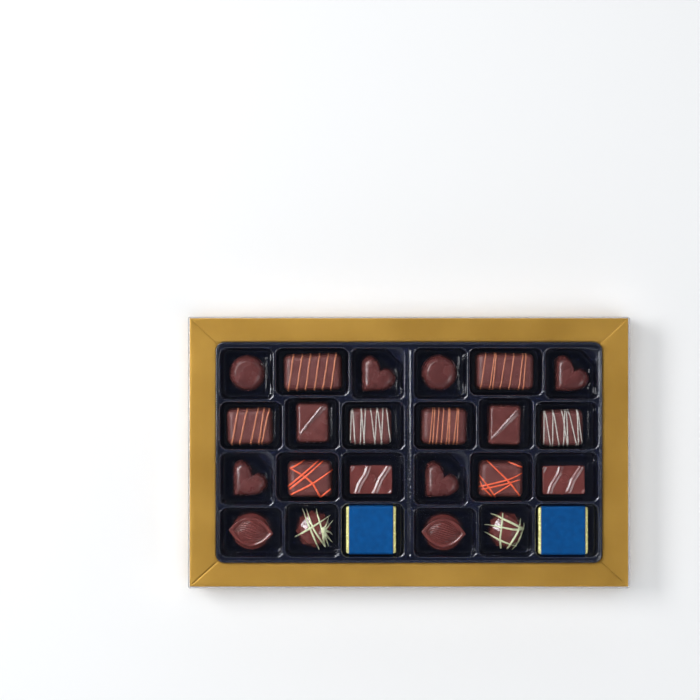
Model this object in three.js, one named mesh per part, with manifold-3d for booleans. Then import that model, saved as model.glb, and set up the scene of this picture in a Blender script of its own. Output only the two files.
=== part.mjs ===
// A flat gift box of chocolate pralines, closed by a clear lid.
// A gold card base carries a dark moulded insert, whose left and right halves have the same cells.
// Every cell holds one praline.
// Millimetres, +X along the length, +Y to the back of the box, +Z up, origin under its centre.

import * as THREE from 'three';
import { mergeVertices } from 'three/addons/utils/BufferGeometryUtils.js';
import Module from 'manifold-3d';

// Card base
const BASE_LENGTH = 294;
const BASE_WIDTH = 180;
const BASE_HEIGHT = 26;
const CARD = 0.8;
const FRAME_DROP = 0.9;
const MITRE_SLIT = 0.5;
const SLIT_STOP = 2.5;
const FIT_CLEARANCE = 0.35;

// Clear lid
const LID_SHEET = 0.4;
const LID_TOP = 30;
const LID_SKIRT_BOTTOM = 7;
const LID_CORNER = 1.2;

// Moulded insert
const INSERT_LENGTH = 259;
const INSERT_WIDTH = 148;
const INSERT_CORNER = 6;
const INSERT_SHEET = 0.5;
const INSERT_FOOT = 1.2;
const LAND_TOP = 26;
const RIM_TOP = 27.2;
const RIM_WIDTH = 1.4;
const GROOVE_WIDTH = 2;
const GROOVE_DEPTH = 1;

// Cells of the insert
const CELL_GAP = 2;
const HALF_PITCH = 130;
const HALF_LENGTH = 123.3;
const CELL_CORNER = 3.7;
const CELL_FLOOR = 9.6;
const SHALLOW_FLOOR = 16.6;
const CELL_DRAFT = 0.9;
const FLOOR_FILLET = 1.3;
const SKIN_CORNER = 1.5;
const HEART_WEB_LEG = 13;
const HEART_WEB_TOP = 23;
const WEB_MARGIN = 1;

// Pralines: seat gap over the cell floor, and the sizes of each kind
const SEAT_GAP = 0.3;
const ROUND_DIAMETER = 24.8;
const ROUND_HEIGHT = 14;
const BAR_WIDTH = 25.2;
const BAR_HEIGHT = 14;
const BAR_CORNER = 4.2;
const STRIPED_LENGTH = 31.8;
const FINGER_LENGTH = 40;
const ZIGZAG_LENGTH = 29.2;
const DRIZZLED_LENGTH = 30.5;
const RIDGED_LENGTH = 23.2;
const RIDGED_WIDTH = 28.2;
const RIDGED_HEIGHT = 13;
const HEART_HEIGHT = 13.5;
const WAVE_LENGTH = 29.6;
const WAVE_WIDTH = 20.4;
const WAVE_HEIGHT = 11.5;
const POD_LENGTH = 27.4;
const POD_WIDTH = 26.4;
const LENS_LENGTH = 30.4;
const LENS_WIDTH = 20;
const POD_BASE_HEIGHT = 8.5;
const POD_HEIGHT = 13;
const POD_RIDGES = 5;
const POD_RIDGE_STEP = 0.42;
const POD_RIDGE_SLANT = 0.65;
const GEM_LENGTH = 24.8;
const GEM_WIDTH = 26;
const GEM_HEIGHT = 14;
const GEM_SIDES = 8;
const FOIL_LENGTH = 33.8;
const FOIL_WIDTH = 31.8;
const FOIL_HEIGHT = 8;
const BAND_LENGTH = 29.7;
const BAND_SHEET = 0.25;
const BAND_GAP = 0.3;

// Drizzle and moulded ridges: width and height above the surface
const STRIPE = { width: 1.3, crest: 0, height: 0.55 };
const DRIZZLE = { width: 1.5, crest: 0, height: 0.6 };
const MOULDED_RIDGE = { width: 2.8, crest: 0.9, height: 0.8 };
const WAVE_RIDGE = { width: 3.7, crest: 0.7, height: 0.7 };
const POD_RIDGE = { width: 1.7, crest: 0, height: 0.6 };
const STRAND_SAMPLES = 60;
const STRAND_TOLERANCE = 0.3;
const STRAND_DEPTH = 0.7;
const PILLOW_RIM = -0.6;
const SCALED_RIM = 0.93;

// Colours of the materials
const GOLD_CARD = new THREE.MeshStandardMaterial({ color: 0xa4803a, roughness: 0.35, metalness: 0.8 });
const BLACK_PLASTIC = new THREE.MeshStandardMaterial({ color: 0x16182a, roughness: 0.2, metalness: 0 });
const CLEAR_PLASTIC = new THREE.MeshStandardMaterial({
  color: 0xf4f6fa, roughness: 0.05, metalness: 0, transparent: true, opacity: 0.2,
});
const MILK_CHOCOLATE = new THREE.MeshStandardMaterial({ color: 0x74483f, roughness: 0.38, metalness: 0 });
const DARK_CHOCOLATE = new THREE.MeshStandardMaterial({ color: 0x5c3433, roughness: 0.3, metalness: 0 });
const GOLD_FOIL = new THREE.MeshStandardMaterial({ color: 0xccc98a, roughness: 0.25, metalness: 0.9 });
const BLUE_PAPER = new THREE.MeshStandardMaterial({ color: 0x05508c, roughness: 0.45, metalness: 0 });

const wasm = await Module();
wasm.setup();

// A closed mesh becomes a solid that can be joined and cut.
function toSolid(geometry) {
  const bare = geometry.clone();
  bare.deleteAttribute('normal');
  bare.deleteAttribute('uv');
  const merged = mergeVertices(bare, 1e-4);
  return new wasm.Manifold(new wasm.Mesh({
    numProp: 3,
    vertProperties: new Float32Array(merged.attributes.position.array),
    triVerts: new Uint32Array(merged.index.array),
  }));
}

function toGeometry(solid) {
  const mesh = solid.getMesh();
  const geometry = new THREE.BufferGeometry();
  geometry.setAttribute('position', new THREE.BufferAttribute(new Float32Array(mesh.vertProperties), 3));
  geometry.setIndex(new THREE.BufferAttribute(new Uint32Array(mesh.triVerts), 1));
  geometry.computeVertexNormals();
  return geometry;
}

function joinAll(solids) {
  return solids.reduce((whole, solid) => whole.add(solid));
}

// Skin over a stack of rings with equal counts, closed by a fan at each end.
function loft(rings, topRise = 0) {
  const count = rings[0].length;
  const points = rings.flat();
  const triangles = [];
  for (let level = 0; level + 1 < rings.length; level += 1) {
    for (let i = 0; i < count; i += 1) {
      const next = (i + 1) % count;
      const low = level * count;
      const high = low + count;
      triangles.push([low + i, low + next, high + next]);
      triangles.push([low + i, high + next, high + i]);
    }
  }
  const lastRing = (rings.length - 1) * count;
  const bottomCentre = points.length;
  const topCentre = bottomCentre + 1;
  const ends = [middleOf(rings[0]), middleOf(rings[rings.length - 1])];
  ends[1].z += topRise;
  for (let i = 0; i < count; i += 1) {
    const next = (i + 1) % count;
    triangles.push([bottomCentre, next, i]);
    triangles.push([topCentre, lastRing + i, lastRing + next]);
  }
  return closedMesh(points.concat(ends), triangles);
}

function middleOf(ring) {
  const middle = new THREE.Vector3();
  for (const point of ring) {
    middle.add(point);
  }
  return middle.divideScalar(ring.length);
}

// Mesh from points and triangles, turned inside out when its volume comes out negative.
function closedMesh(points, triangles) {
  let volume = 0;
  for (const [a, b, c] of triangles) {
    volume += points[a].dot(new THREE.Vector3().crossVectors(points[b], points[c]));
  }
  const facing = volume < 0 ? triangles.map(([a, b, c]) => [a, c, b]) : triangles;
  const geometry = new THREE.BufferGeometry().setFromPoints(points);
  geometry.setIndex(facing.flat());
  return geometry;
}

// Outline of a rectangle with rounded corners, anticlockwise.
function roundedRectangle(length, width, corner, steps) {
  const radius = Math.max(Math.min(corner, length / 2, width / 2), 0.2);
  const outline = [];
  for (let quarter = 0; quarter < 4; quarter += 1) {
    const signX = quarter === 0 || quarter === 3 ? 1 : -1;
    const signY = quarter < 2 ? 1 : -1;
    for (let i = 0; i <= steps; i += 1) {
      const angle = (quarter + i / steps) * Math.PI / 2;
      const x = signX * (length / 2 - radius) + radius * Math.cos(angle);
      const y = signY * (width / 2 - radius) + radius * Math.sin(angle);
      outline.push(new THREE.Vector2(x, y));
    }
  }
  return outline;
}

function liftRing(outline, z, centreX = 0, centreY = 0) {
  return outline.map((point) => new THREE.Vector3(point.x + centreX, point.y + centreY, z));
}

// Block with rounded corners between two heights.
function roundedBlock(length, width, corner, bottom, top, steps = 3) {
  const outline = roundedRectangle(length, width, corner, steps);
  return toSolid(loft([liftRing(outline, bottom), liftRing(outline, top)]));
}

function squareBlock(length, width, bottom, top, centreX = 0, centreY = 0) {
  const box = new THREE.BoxGeometry(length, width, top - bottom);
  box.translate(centreX, centreY, (bottom + top) / 2);
  return toSolid(box);
}

// Height of a body's upper surface from its profile of [gauge, height] pairs, gauge falling inwards.
function heightOnProfile(profile, gauge) {
  const widest = profile.reduce((best, pair, i) => (pair[0] >= profile[best][0] ? i : best), 0);
  for (let i = widest; i + 1 < profile.length; i += 1) {
    const [outer, low] = profile[i];
    const [inner, high] = profile[i + 1];
    if (gauge <= outer && gauge >= inner) {
      return low + (high - low) * (outer - gauge) / (outer - inner);
    }
  }
  return gauge > profile[widest][0] ? profile[widest][1] : profile[profile.length - 1][1];
}

// Pillow-shaped body: the profile gives how far each ring is set in from the outline.
function pillowBody(length, width, corner, profile) {
  const rings = profile.map(([setIn, z]) => liftRing(
    roundedRectangle(length - 2 * setIn, width - 2 * setIn, corner - setIn, 3), z));
  const edgeProfile = profile.map(([setIn, z]) => [-setIn, z]);
  function edgeGauge(x, y) {
    const overX = Math.abs(x) - (length / 2 - corner);
    const overY = Math.abs(y) - (width / 2 - corner);
    const outside = Math.hypot(Math.max(overX, 0), Math.max(overY, 0));
    return outside + Math.min(Math.max(overX, overY), 0) - corner;
  }
  return {
    solid: toSolid(loft(rings)),
    gauge: edgeGauge,
    rim: PILLOW_RIM,
    height: (x, y) => heightOnProfile(edgeProfile, edgeGauge(x, y)),
  };
}

// Body whose rings are scaled copies of one outline: the profile gives each ring's scale.
function scaledBody(outline, profile, gauge, topRise, twist = 0) {
  const rings = profile.map(([scale, z], level) => {
    const turned = outline.map((point) => point.clone().rotateAround(new THREE.Vector2(), level * twist));
    return liftRing(turned.map((point) => point.multiplyScalar(scale)), z);
  });
  return {
    solid: toSolid(loft(rings, topRise)),
    gauge,
    rim: SCALED_RIM,
    height: (x, y) => heightOnProfile(profile, gauge(x, y)),
  };
}

// Leaves out the points of a path that lie within the tolerance of the straight run past them.
function thinOut(points, tolerance) {
  const last = points.length - 1;
  const run = new THREE.Line3(points[0], points[last]);
  const foot = new THREE.Vector3();
  let farthest = 0;
  let distance = tolerance;
  for (let i = 1; i < last; i += 1) {
    const away = run.closestPointToPoint(points[i], true, foot).distanceTo(points[i]);
    if (away > distance) {
      farthest = i;
      distance = away;
    }
  }
  if (farthest === 0) {
    return [points[0], points[last]];
  }
  const before = thinOut(points.slice(0, farthest + 1), tolerance);
  const after = thinOut(points.slice(farthest), tolerance);
  return before.concat(after.slice(1));
}

// One strand of icing or one moulded ridge that follows the body's surface along a flat path.
function strand(body, route, section) {
  const flat = route.map(([x, y]) => new THREE.Vector2(x, y));
  const path = flat.length === 2 ? new THREE.LineCurve(flat[0], flat[1]) : new THREE.SplineCurve(flat);
  const onBody = path.getPoints(STRAND_SAMPLES).filter(({ x, y }) => body.gauge(x, y) <= body.rim);
  const lifted = onBody.map(({ x, y }) => new THREE.Vector3(x, y, body.height(x, y)));
  const points = thinOut(lifted, STRAND_TOLERANCE);
  const widening = (section.width - section.crest) * STRAND_DEPTH / section.height;
  const foot = (section.width + widening) / 2;
  const corners = [[-foot, -STRAND_DEPTH], [foot, -STRAND_DEPTH], [section.crest / 2, section.height]];
  if (section.crest > 0) {
    corners.push([-section.crest / 2, section.height]);
  }
  const rings = points.map((point, i) => {
    const before = points[Math.max(i - 1, 0)];
    const after = points[Math.min(i + 1, points.length - 1)];
    const along = new THREE.Vector3().subVectors(after, before).normalize();
    const side = new THREE.Vector3(-along.y, along.x, 0).normalize();
    const out = new THREE.Vector3().crossVectors(along, side);
    return corners.map(([across, up]) => point.clone().addScaledVector(side, across)
      .addScaledVector(out, up));
  });
  return toSolid(loft(rings));
}

function withStrands(body, routes, section) {
  return joinAll([body.solid, ...routes.map((route) => strand(body, route, section))]);
}

// Card base: tray with walls and a mitred frame that slopes a little to the insert.
function makeBase() {
  const opening = roundedRectangle(
    INSERT_LENGTH + 2 * FIT_CLEARANCE, INSERT_WIDTH + 2 * FIT_CLEARANCE, INSERT_CORNER, 3);
  const outside = squareBlock(BASE_LENGTH, BASE_WIDTH, 0, BASE_HEIGHT);
  const hollow = toSolid(loft([
    liftRing(roundedRectangle(BASE_LENGTH - 2 * CARD, BASE_WIDTH - 2 * CARD, 0.5, 3), CARD),
    liftRing(roundedRectangle(BASE_LENGTH - 2 * CARD, BASE_WIDTH - 2 * CARD, 0.5, 3), BASE_HEIGHT - CARD),
    liftRing(opening, BASE_HEIGHT - CARD - FRAME_DROP),
  ]));
  const slope = toSolid(loft([
    liftRing(opening, BASE_HEIGHT - FRAME_DROP),
    liftRing(roundedRectangle(BASE_LENGTH, BASE_WIDTH, 0.5, 3), BASE_HEIGHT),
    liftRing(roundedRectangle(BASE_LENGTH, BASE_WIDTH, 0.5, 3), BASE_HEIGHT + 1),
  ]));
  const window = toSolid(loft([liftRing(opening, BASE_HEIGHT / 2), liftRing(opening, BASE_HEIGHT + 1)]));
  let base = outside.subtract(hollow).subtract(slope).subtract(window);
  for (const signX of [-1, 1]) {
    for (const signY of [-1, 1]) {
      base = base.subtract(mitreSlit(signX, signY));
    }
  }
  return toGeometry(base);
}

// Thin slit between two flaps of the frame, from the insert's corner almost to the box corner.
function mitreSlit(signX, signY) {
  const inner = new THREE.Vector2(INSERT_LENGTH / 2 - INSERT_CORNER, INSERT_WIDTH / 2 - INSERT_CORNER);
  const outer = new THREE.Vector2(BASE_LENGTH / 2 - SLIT_STOP, BASE_WIDTH / 2 - SLIT_STOP);
  for (const end of [inner, outer]) {
    end.multiply(new THREE.Vector2(signX, signY));
  }
  const run = new THREE.Vector2().subVectors(outer, inner);
  const slit = new THREE.BoxGeometry(run.length(), MITRE_SLIT, 2 * CARD + FRAME_DROP + 1);
  slit.rotateZ(run.angle());
  slit.translate((inner.x + outer.x) / 2, (inner.y + outer.y) / 2, BASE_HEIGHT - CARD);
  return toSolid(slit);
}

// Clear lid: thin sheet over the frame with a skirt around the base.
function makeLid() {
  const innerLength = BASE_LENGTH + 2 * FIT_CLEARANCE;
  const innerWidth = BASE_WIDTH + 2 * FIT_CLEARANCE;
  const outside = roundedBlock(innerLength + 2 * LID_SHEET, innerWidth + 2 * LID_SHEET,
    LID_CORNER, LID_SKIRT_BOTTOM, LID_TOP);
  const inside = roundedBlock(innerLength, innerWidth, LID_CORNER - LID_SHEET,
    LID_SKIRT_BOTTOM - 1, LID_TOP - LID_SHEET);
  return toGeometry(outside.subtract(inside));
}

// Cells of one half, row by row from the back. Widths share the half's length with two gaps.
// back and front are the cell's edges, and left and right place its praline in the two halves
// as [shift along X, shift along Y, turn in degrees] from the cell's centre.
const CELL_ROWS = [
  [
    { kind: 'round', width: 35.3, back: 69.9, front: 35.5, left: [0.3, 0.4, 20], right: [-0.4, 0.6, 65] },
    { kind: 'finger', width: 48.7, back: 69.9, front: 38.2, left: [0.4, -0.3, 1.5], right: [-0.5, 0.2, -1] },
    { kind: 'heart', width: 35.3, back: 69.9, front: 35.5, left: [0.8, 0.4, 2], right: [1.1, 0.3, 0] },
  ],
  [
    { kind: 'striped', width: 41.5, back: 33.8, front: 1.9, left: [-1.2, -0.6, 1], right: [-0.4, -0.5, -1] },
    { kind: 'ridged', width: 36.2, back: 36.4, front: 1.9, left: [0.4, 0.5, 1], right: [-0.4, -1.1, -1.5] },
    { kind: 'zigzag', width: 41.6, back: 33.8, front: 1.9, left: [-1.7, -0.6, 0], right: [-2.6, -1.6, 1] },
  ],
  [
    { kind: 'heart', width: 35.7, back: -0.1, front: -35.6, left: [2.2, 0.4, 1], right: [1.5, -0.4, 0] },
    { kind: 'drizzled', width: 41.7, back: -0.1, front: -32.9, left: [1.6, -1.7, 1], right: [0, -1.7, -1] },
    { kind: 'wave', width: 41.9, back: -0.1, front: -32.9, left: [-1.1, -2, 0], right: [-1.7, -2.2, 0.5] },
  ],
  [
    { kind: 'pod', width: 41.7, back: -37.2, front: -70.1, left: [-0.3, 0.1, -5], right: [-0.8, -0.6, -3] },
    { kind: 'gem', width: 35.7, back: -34.6, front: -70.1, left: [0.9, 0.3, 0], right: [0.4, -0.3, 8] },
    { kind: 'foil', width: 41.9, back: -34.6, front: -70.1, left: [-1.1, 0.3, 0], right: [-2.3, -0.1, 0] },
  ],
];

// Every cell with its centre, its sizes and where its praline lies.
function listCells() {
  const cells = [];
  for (const [side, half] of [['left', -1], ['right', 1]]) {
    for (const [row, cellsInRow] of CELL_ROWS.entries()) {
      let edge = half * HALF_PITCH / 2 - HALF_LENGTH / 2;
      for (const [column, cell] of cellsInRow.entries()) {
        const [shiftX, shiftY, turn] = cell[side];
        cells.push({
          name: `${cell.kind}_${side}_row${row + 1}_cell${column + 1}`,
          kind: cell.kind,
          variant: side,
          x: edge + cell.width / 2,
          y: (cell.back + cell.front) / 2,
          length: cell.width,
          width: cell.back - cell.front,
          floor: cell.kind === 'foil' ? SHALLOW_FLOOR : CELL_FLOOR,
          pralineX: edge + cell.width / 2 + shiftX,
          pralineY: (cell.back + cell.front) / 2 + shiftY,
          turn: THREE.MathUtils.degToRad(turn),
        });
        edge += cell.width + CELL_GAP;
      }
    }
  }
  return cells;
}

function cellRing(cell, setIn, corner, steps, z) {
  const outline = roundedRectangle(cell.length - 2 * setIn, cell.width - 2 * setIn, corner, steps);
  return liftRing(outline, z, cell.x, cell.y);
}

// Tapered space of one cell, with rounded corners and a fillet at its floor.
function cellSpace(cell) {
  return toSolid(loft([
    cellRing(cell, CELL_DRAFT + FLOOR_FILLET, CELL_CORNER - FLOOR_FILLET, 2, cell.floor),
    cellRing(cell, CELL_DRAFT, CELL_CORNER - CELL_DRAFT, 2, cell.floor + FLOOR_FILLET),
    cellRing(cell, 0, CELL_CORNER, 2, LAND_TOP + 0.5),
  ]));
}

// Outside of the same cell, one sheet thickness larger.
function cellSkin(cell) {
  return toSolid(loft([
    cellRing(cell, CELL_DRAFT - INSERT_SHEET, SKIN_CORNER, 1, cell.floor - INSERT_SHEET),
    cellRing(cell, -INSERT_SHEET, SKIN_CORNER, 1, LAND_TOP - INSERT_SHEET / 2),
  ]));
}

// Raised three-cornered web that fills the back right corner of a heart's cell.
function heartWeb(cell) {
  const cornerX = cell.x + cell.length / 2 + WEB_MARGIN;
  const cornerY = cell.y + cell.width / 2 + WEB_MARGIN;
  const outline = new THREE.Shape([
    new THREE.Vector2(cornerX, cornerY),
    new THREE.Vector2(cornerX - HEART_WEB_LEG, cornerY),
    new THREE.Vector2(cornerX, cornerY - HEART_WEB_LEG),
  ]);
  const web = new THREE.ExtrudeGeometry(outline, { depth: HEART_WEB_TOP, bevelEnabled: false });
  return toSolid(web);
}

// Moulded insert: a thin sheet with a skirt, a raised rim, a middle groove and the cells.
function makeInsert(cells) {
  const skirtOutside = roundedBlock(INSERT_LENGTH, INSERT_WIDTH, INSERT_CORNER, INSERT_FOOT, RIM_TOP);
  const skirtInside = roundedBlock(INSERT_LENGTH - 2 * INSERT_SHEET, INSERT_WIDTH - 2 * INSERT_SHEET,
    INSERT_CORNER - INSERT_SHEET, INSERT_FOOT - 1, LAND_TOP - INSERT_SHEET);
  const overLand = roundedBlock(INSERT_LENGTH - 2 * RIM_WIDTH, INSERT_WIDTH - 2 * RIM_WIDTH,
    INSERT_CORNER - RIM_WIDTH, LAND_TOP, RIM_TOP + 1);
  const grooveSkin = squareBlock(GROOVE_WIDTH + 2 * INSERT_SHEET, INSERT_WIDTH - 2 * RIM_WIDTH,
    LAND_TOP - GROOVE_DEPTH - INSERT_SHEET, LAND_TOP - INSERT_SHEET / 2);
  const groove = squareBlock(GROOVE_WIDTH, INSERT_WIDTH - 4 * RIM_WIDTH, LAND_TOP - GROOVE_DEPTH, RIM_TOP);
  const skins = joinAll(cells.map(cellSkin));
  const spaces = joinAll(cells.map((cell) => {
    const space = cellSpace(cell);
    return cell.kind === 'heart' ? space.subtract(heartWeb(cell)) : space;
  }));
  const sheet = skirtOutside.subtract(skirtInside).subtract(overLand).add(grooveSkin).add(skins);
  return toGeometry(sheet.subtract(groove).subtract(spaces));
}

// Profile of a bar that was coated with liquid chocolate: soft shoulders and a small foot.
function coatedProfile(height) {
  return [[0.5, 0], [0, 0.8], [0.6, 0.64 * height], [1.9, 0.89 * height], [4.4, height]];
}

function coatedBar(length) {
  return pillowBody(length, BAR_WIDTH, BAR_CORNER, coatedProfile(BAR_HEIGHT));
}

// Stripes across a bar, each given by where it meets the front and the back edge.
function acrossRoutes(pairs) {
  return pairs.map(([front, back]) => [[front, -BAR_WIDTH / 2], [back, BAR_WIDTH / 2]]);
}

const STRIPE_ENDS = {
  left: [[-11.9, -7.2], [-6.6, -1.2], [0.8, 6.2], [6.2, 10.2], [8.2, 13.5]],
  right: [[-9.6, -7.6], [-7.4, -6.4], [-5, -3.5], [-1.7, -0.4], [1.7, 3.2], [6.5, 8.8], [8.8, 9.6]],
};

const FINGER_STRIPE_ENDS = {
  left: [[-16.5, -12.5], [-11, -6.5], [-5, -1], [1, 5], [6.5, 11], [12, 16]],
  right: [[-16, -13], [-10, -7], [-8, -6], [-3, 0.5], [3, 6], [9.5, 12], [12.5, 14]],
};

const DRIZZLE_ROUTES = {
  left: [
    [[-13.2, 7.9], [-4.1, 2.3], [1.8, -2.9], [6.9, -12.1]],
    [[6.1, 12.3], [-14.5, -4.6]],
    [[9.2, 12], [-3, 1.8], [-13.6, -6.4]],
    [[15, 5.9], [1.8, -2.9], [-12.8, -10]],
    [[13.8, -6.7], [6.9, -12.1]],
    [[-3.6, 12.3], [-13, 7.2]],
  ],
  right: [
    [[-9.4, 12.2], [4.4, -0.7], [12.9, -10.9]],
    [[4.7, 11.7], [14, 8.3]],
    [[14, 4.4], [4.7, -0.1], [-14.5, -5.2]],
    [[12.8, 0], [-0.4, -4], [-13, -7]],
    [[7.2, -2.7], [-4.6, -10.4]],
    [[-14.4, 2.4], [-9.1, -4.3], [-3.5, -12]],
  ],
};

const CREAM_ROUTES = {
  left: [
    [[-6.7, 12.2], [3.2, -12]],
    [[-4.2, 12.6], [-0.6, 0.8], [8.1, -12]],
    [[2.4, 12.4], [4.5, 4.4], [8.6, -8.8]],
    [[-12, -5], [9.7, 8.2]],
  ],
  right: [
    [[-2.5, 12.4], [-3.3, 2.6], [-4.6, -6.1], [-3.5, -12.7]],
    [[-9.8, 8.6], [10.4, 2]],
    [[-12.2, 3.6], [10.8, -0.2]],
    [[0.7, -12.3], [9.6, 6]],
  ],
};

function makeStriped(variant) {
  return withStrands(coatedBar(STRIPED_LENGTH), acrossRoutes(STRIPE_ENDS[variant]), STRIPE);
}

function makeFinger(variant) {
  return withStrands(coatedBar(FINGER_LENGTH), acrossRoutes(FINGER_STRIPE_ENDS[variant]), STRIPE);
}

// The white threads on this bar are too thin to be part of the solid.
function makeZigzag() {
  return coatedBar(ZIGZAG_LENGTH).solid;
}

function makeDrizzled(variant) {
  return withStrands(coatedBar(DRIZZLED_LENGTH), DRIZZLE_ROUTES[variant], DRIZZLE);
}

// Upright block with one ridge from the front left to the back right.
function makeRidged() {
  const profile = [[0.5, 0], [0, 0.7], [0.9, 0.8 * RIDGED_HEIGHT], [2.4, RIDGED_HEIGHT]];
  const body = pillowBody(RIDGED_LENGTH, RIDGED_WIDTH, 3.4, profile);
  return withStrands(body, [[[-9.6, -8], [-1.5, 2.4], [8, 12.6]]], MOULDED_RIDGE);
}

// Outline of the heart from its point at the front left, and the place that its rings shrink to.
const HEART_OUTLINE = [
  [1.1, 0.2], [8.5, 0.2], [15.8, 0.7], [20.2, 2.6], [23.1, 5.6], [23.9, 8.9], [23.1, 12], [21.1, 14.4],
  [18.4, 15.8], [16.2, 15.8], [14.4, 14.9], [13.6, 16.7], [12.8, 19.1], [11, 22.2], [8.6, 24.2],
  [5.8, 24.8], [3, 23.8], [1.2, 21.9], [0.4, 18.7], [0.2, 9.5], [0.2, 1.1],
];
const HEART_MIDDLE = new THREE.Vector2(12.05, 12.5);
const HEART_CROWN = new THREE.Vector2(9, 9.7);

// Heart with a steep side and a domed top. Each ring is [scale, height].
function makeHeart() {
  const profile = [
    [0.96, 0], [1, 0.8], [0.97, 0.52 * HEART_HEIGHT], [0.86, 0.8 * HEART_HEIGHT],
    [0.62, 0.95 * HEART_HEIGHT],
  ];
  const outline = HEART_OUTLINE.map(([x, y]) => new THREE.Vector2(x, y).sub(HEART_CROWN));
  const heart = scaledBody(outline, profile, () => 0, 0.05 * HEART_HEIGHT).solid;
  const shift = new THREE.Vector2().subVectors(HEART_CROWN, HEART_MIDDLE);
  return heart.translate([shift.x, shift.y, 0]);
}

// Moulded block with two slanting waves on top.
const WAVE_ROUTES = [
  [[-2.3, 8.8], [-3.2, 4.6], [-5.6, 0.9], [-8.2, -3.3], [-9.9, -8.8]],
  [[11.3, 8.8], [8.9, 4.3], [6.4, 0.6], [5.2, -2.6], [3.4, -6.5], [2.2, -8.8]],
];

function makeWave() {
  const profile = [[0.3, 0], [0, 0.5], [0.8, 0.86 * WAVE_HEIGHT], [1.5, WAVE_HEIGHT]];
  const body = pillowBody(WAVE_LENGTH, WAVE_WIDTH, 1.8, profile);
  return withStrands(body, WAVE_ROUTES, WAVE_RIDGE);
}

// Lens outline with a point at each end of X, from two parabolas.
function lensOutline(length, width, steps) {
  const outline = [];
  for (const side of [1, -1]) {
    for (let i = 0; i < steps; i += 1) {
      const along = side * (1 - 2 * i / steps);
      outline.push(new THREE.Vector2(along * length / 2, side * width / 2 * (1 - along ** 2)));
    }
  }
  return outline;
}

// Cocoa pod: an oval foot, a lens-shaped crown and swept ridges over it.
function makePod() {
  const oval = roundedRectangle(POD_LENGTH, POD_WIDTH, POD_WIDTH / 2 - 0.5, 4);
  const foot = toSolid(loft([
    liftRing(oval.map((point) => point.clone().multiplyScalar(0.97)), 0),
    liftRing(oval, 0.8),
    liftRing(oval.map((point) => point.clone().multiplyScalar(0.92)), POD_BASE_HEIGHT),
  ]));
  const lensGauge = (x, y) => {
    const across = Math.abs(y) / (LENS_WIDTH / 2);
    const along = 2 * x / LENS_LENGTH;
    return (across + Math.sqrt(across ** 2 + 4 * along ** 2)) / 2;
  };
  const profile = [
    [0.97, POD_BASE_HEIGHT - 2], [1, POD_BASE_HEIGHT + 0.4], [0.8, 0.86 * POD_HEIGHT], [0.45, POD_HEIGHT],
  ];
  const crown = scaledBody(lensOutline(LENS_LENGTH, LENS_WIDTH, 6), profile, lensGauge, 0);
  const ridges = [];
  for (let i = 0; i < POD_RIDGES; i += 1) {
    const start = (i - (POD_RIDGES - 1) / 2) * POD_RIDGE_STEP;
    ridges.push([-0.6, -0.2, 0.2, 0.6].map((along) => {
      const across = THREE.MathUtils.clamp(start - POD_RIDGE_SLANT * along, -0.9, 0.9) * (1 - along ** 2);
      return [0.4 * LENS_LENGTH * along, 0.4 * LENS_WIDTH * across];
    }));
  }
  return withStrands(crown, ridges, POD_RIDGE).add(foot);
}

// Gem: a dome of flat facets with cream drizzle.
function makeGem(variant) {
  const outline = [];
  for (let i = 0; i < GEM_SIDES; i += 1) {
    const angle = 2 * Math.PI * i / GEM_SIDES;
    outline.push(new THREE.Vector2(GEM_LENGTH / 2 * Math.cos(angle), GEM_WIDTH / 2 * Math.sin(angle)));
  }
  const profile = [
    [0.92, 0], [1, 1.2], [0.97, 0.45 * GEM_HEIGHT], [0.8, 0.76 * GEM_HEIGHT], [0.42, 0.95 * GEM_HEIGHT],
  ];
  const gauge = (x, y) => Math.hypot(2 * x / GEM_LENGTH, 2 * y / GEM_WIDTH);
  const body = scaledBody(outline, profile, gauge, 0.04 * GEM_HEIGHT, Math.PI / GEM_SIDES);
  return withStrands(body, CREAM_ROUTES[variant], DRIZZLE);
}

// Round dome turned on a lathe, with a shallow curl on its crown.
function makeRound() {
  const radius = ROUND_DIAMETER / 2;
  const profile = [
    [0.94, 0], [1, 0.9], [0.97, 0.5 * ROUND_HEIGHT], [0.84, 0.78 * ROUND_HEIGHT],
    [0.55, 0.96 * ROUND_HEIGHT], [0, ROUND_HEIGHT],
  ];
  const skin = profile.map(([scale, z]) => new THREE.Vector2(scale * radius, z));
  const points = [new THREE.Vector2(0, 0), ...skin];
  const dome = new THREE.LatheGeometry(points, 16);
  dome.rotateX(Math.PI / 2);
  const gauge = (x, y) => Math.hypot(x, y) / radius;
  const body = {
    solid: toSolid(dome),
    gauge,
    rim: SCALED_RIM,
    height: (x, y) => heightOnProfile(profile, gauge(x, y)),
  };
  const curl = [];
  for (let i = 0; i <= 6; i += 1) {
    const angle = (20 + 30 * i) * Math.PI / 180;
    curl.push([0.62 * radius * Math.cos(angle), 0.62 * radius * Math.sin(angle)]);
  }
  return withStrands(body, [curl], DRIZZLE);
}

// Prism along X with a section that has rounded corners, its ends drawn in a little.
function crosswisePrism(length, width, height, corner, endInset) {
  const section = (setIn) => roundedRectangle(width - 2 * setIn, height - 2 * setIn, corner - setIn, 3);
  const ring = (x, setIn) => section(setIn)
    .map((point) => new THREE.Vector3(x, point.x, point.y + height / 2));
  const rings = endInset > 0
    ? [ring(-length / 2, endInset), ring(-length / 2 + endInset, 0), ring(length / 2 - endInset, 0),
      ring(length / 2, endInset)]
    : [ring(-length / 2, 0), ring(length / 2, 0)];
  return toSolid(loft(rings));
}

// Foil-wrapped square, and the open paper band round its middle.
function makeFoil() {
  return crosswisePrism(FOIL_LENGTH, FOIL_WIDTH, FOIL_HEIGHT, 1.6, 0.9);
}

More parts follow.
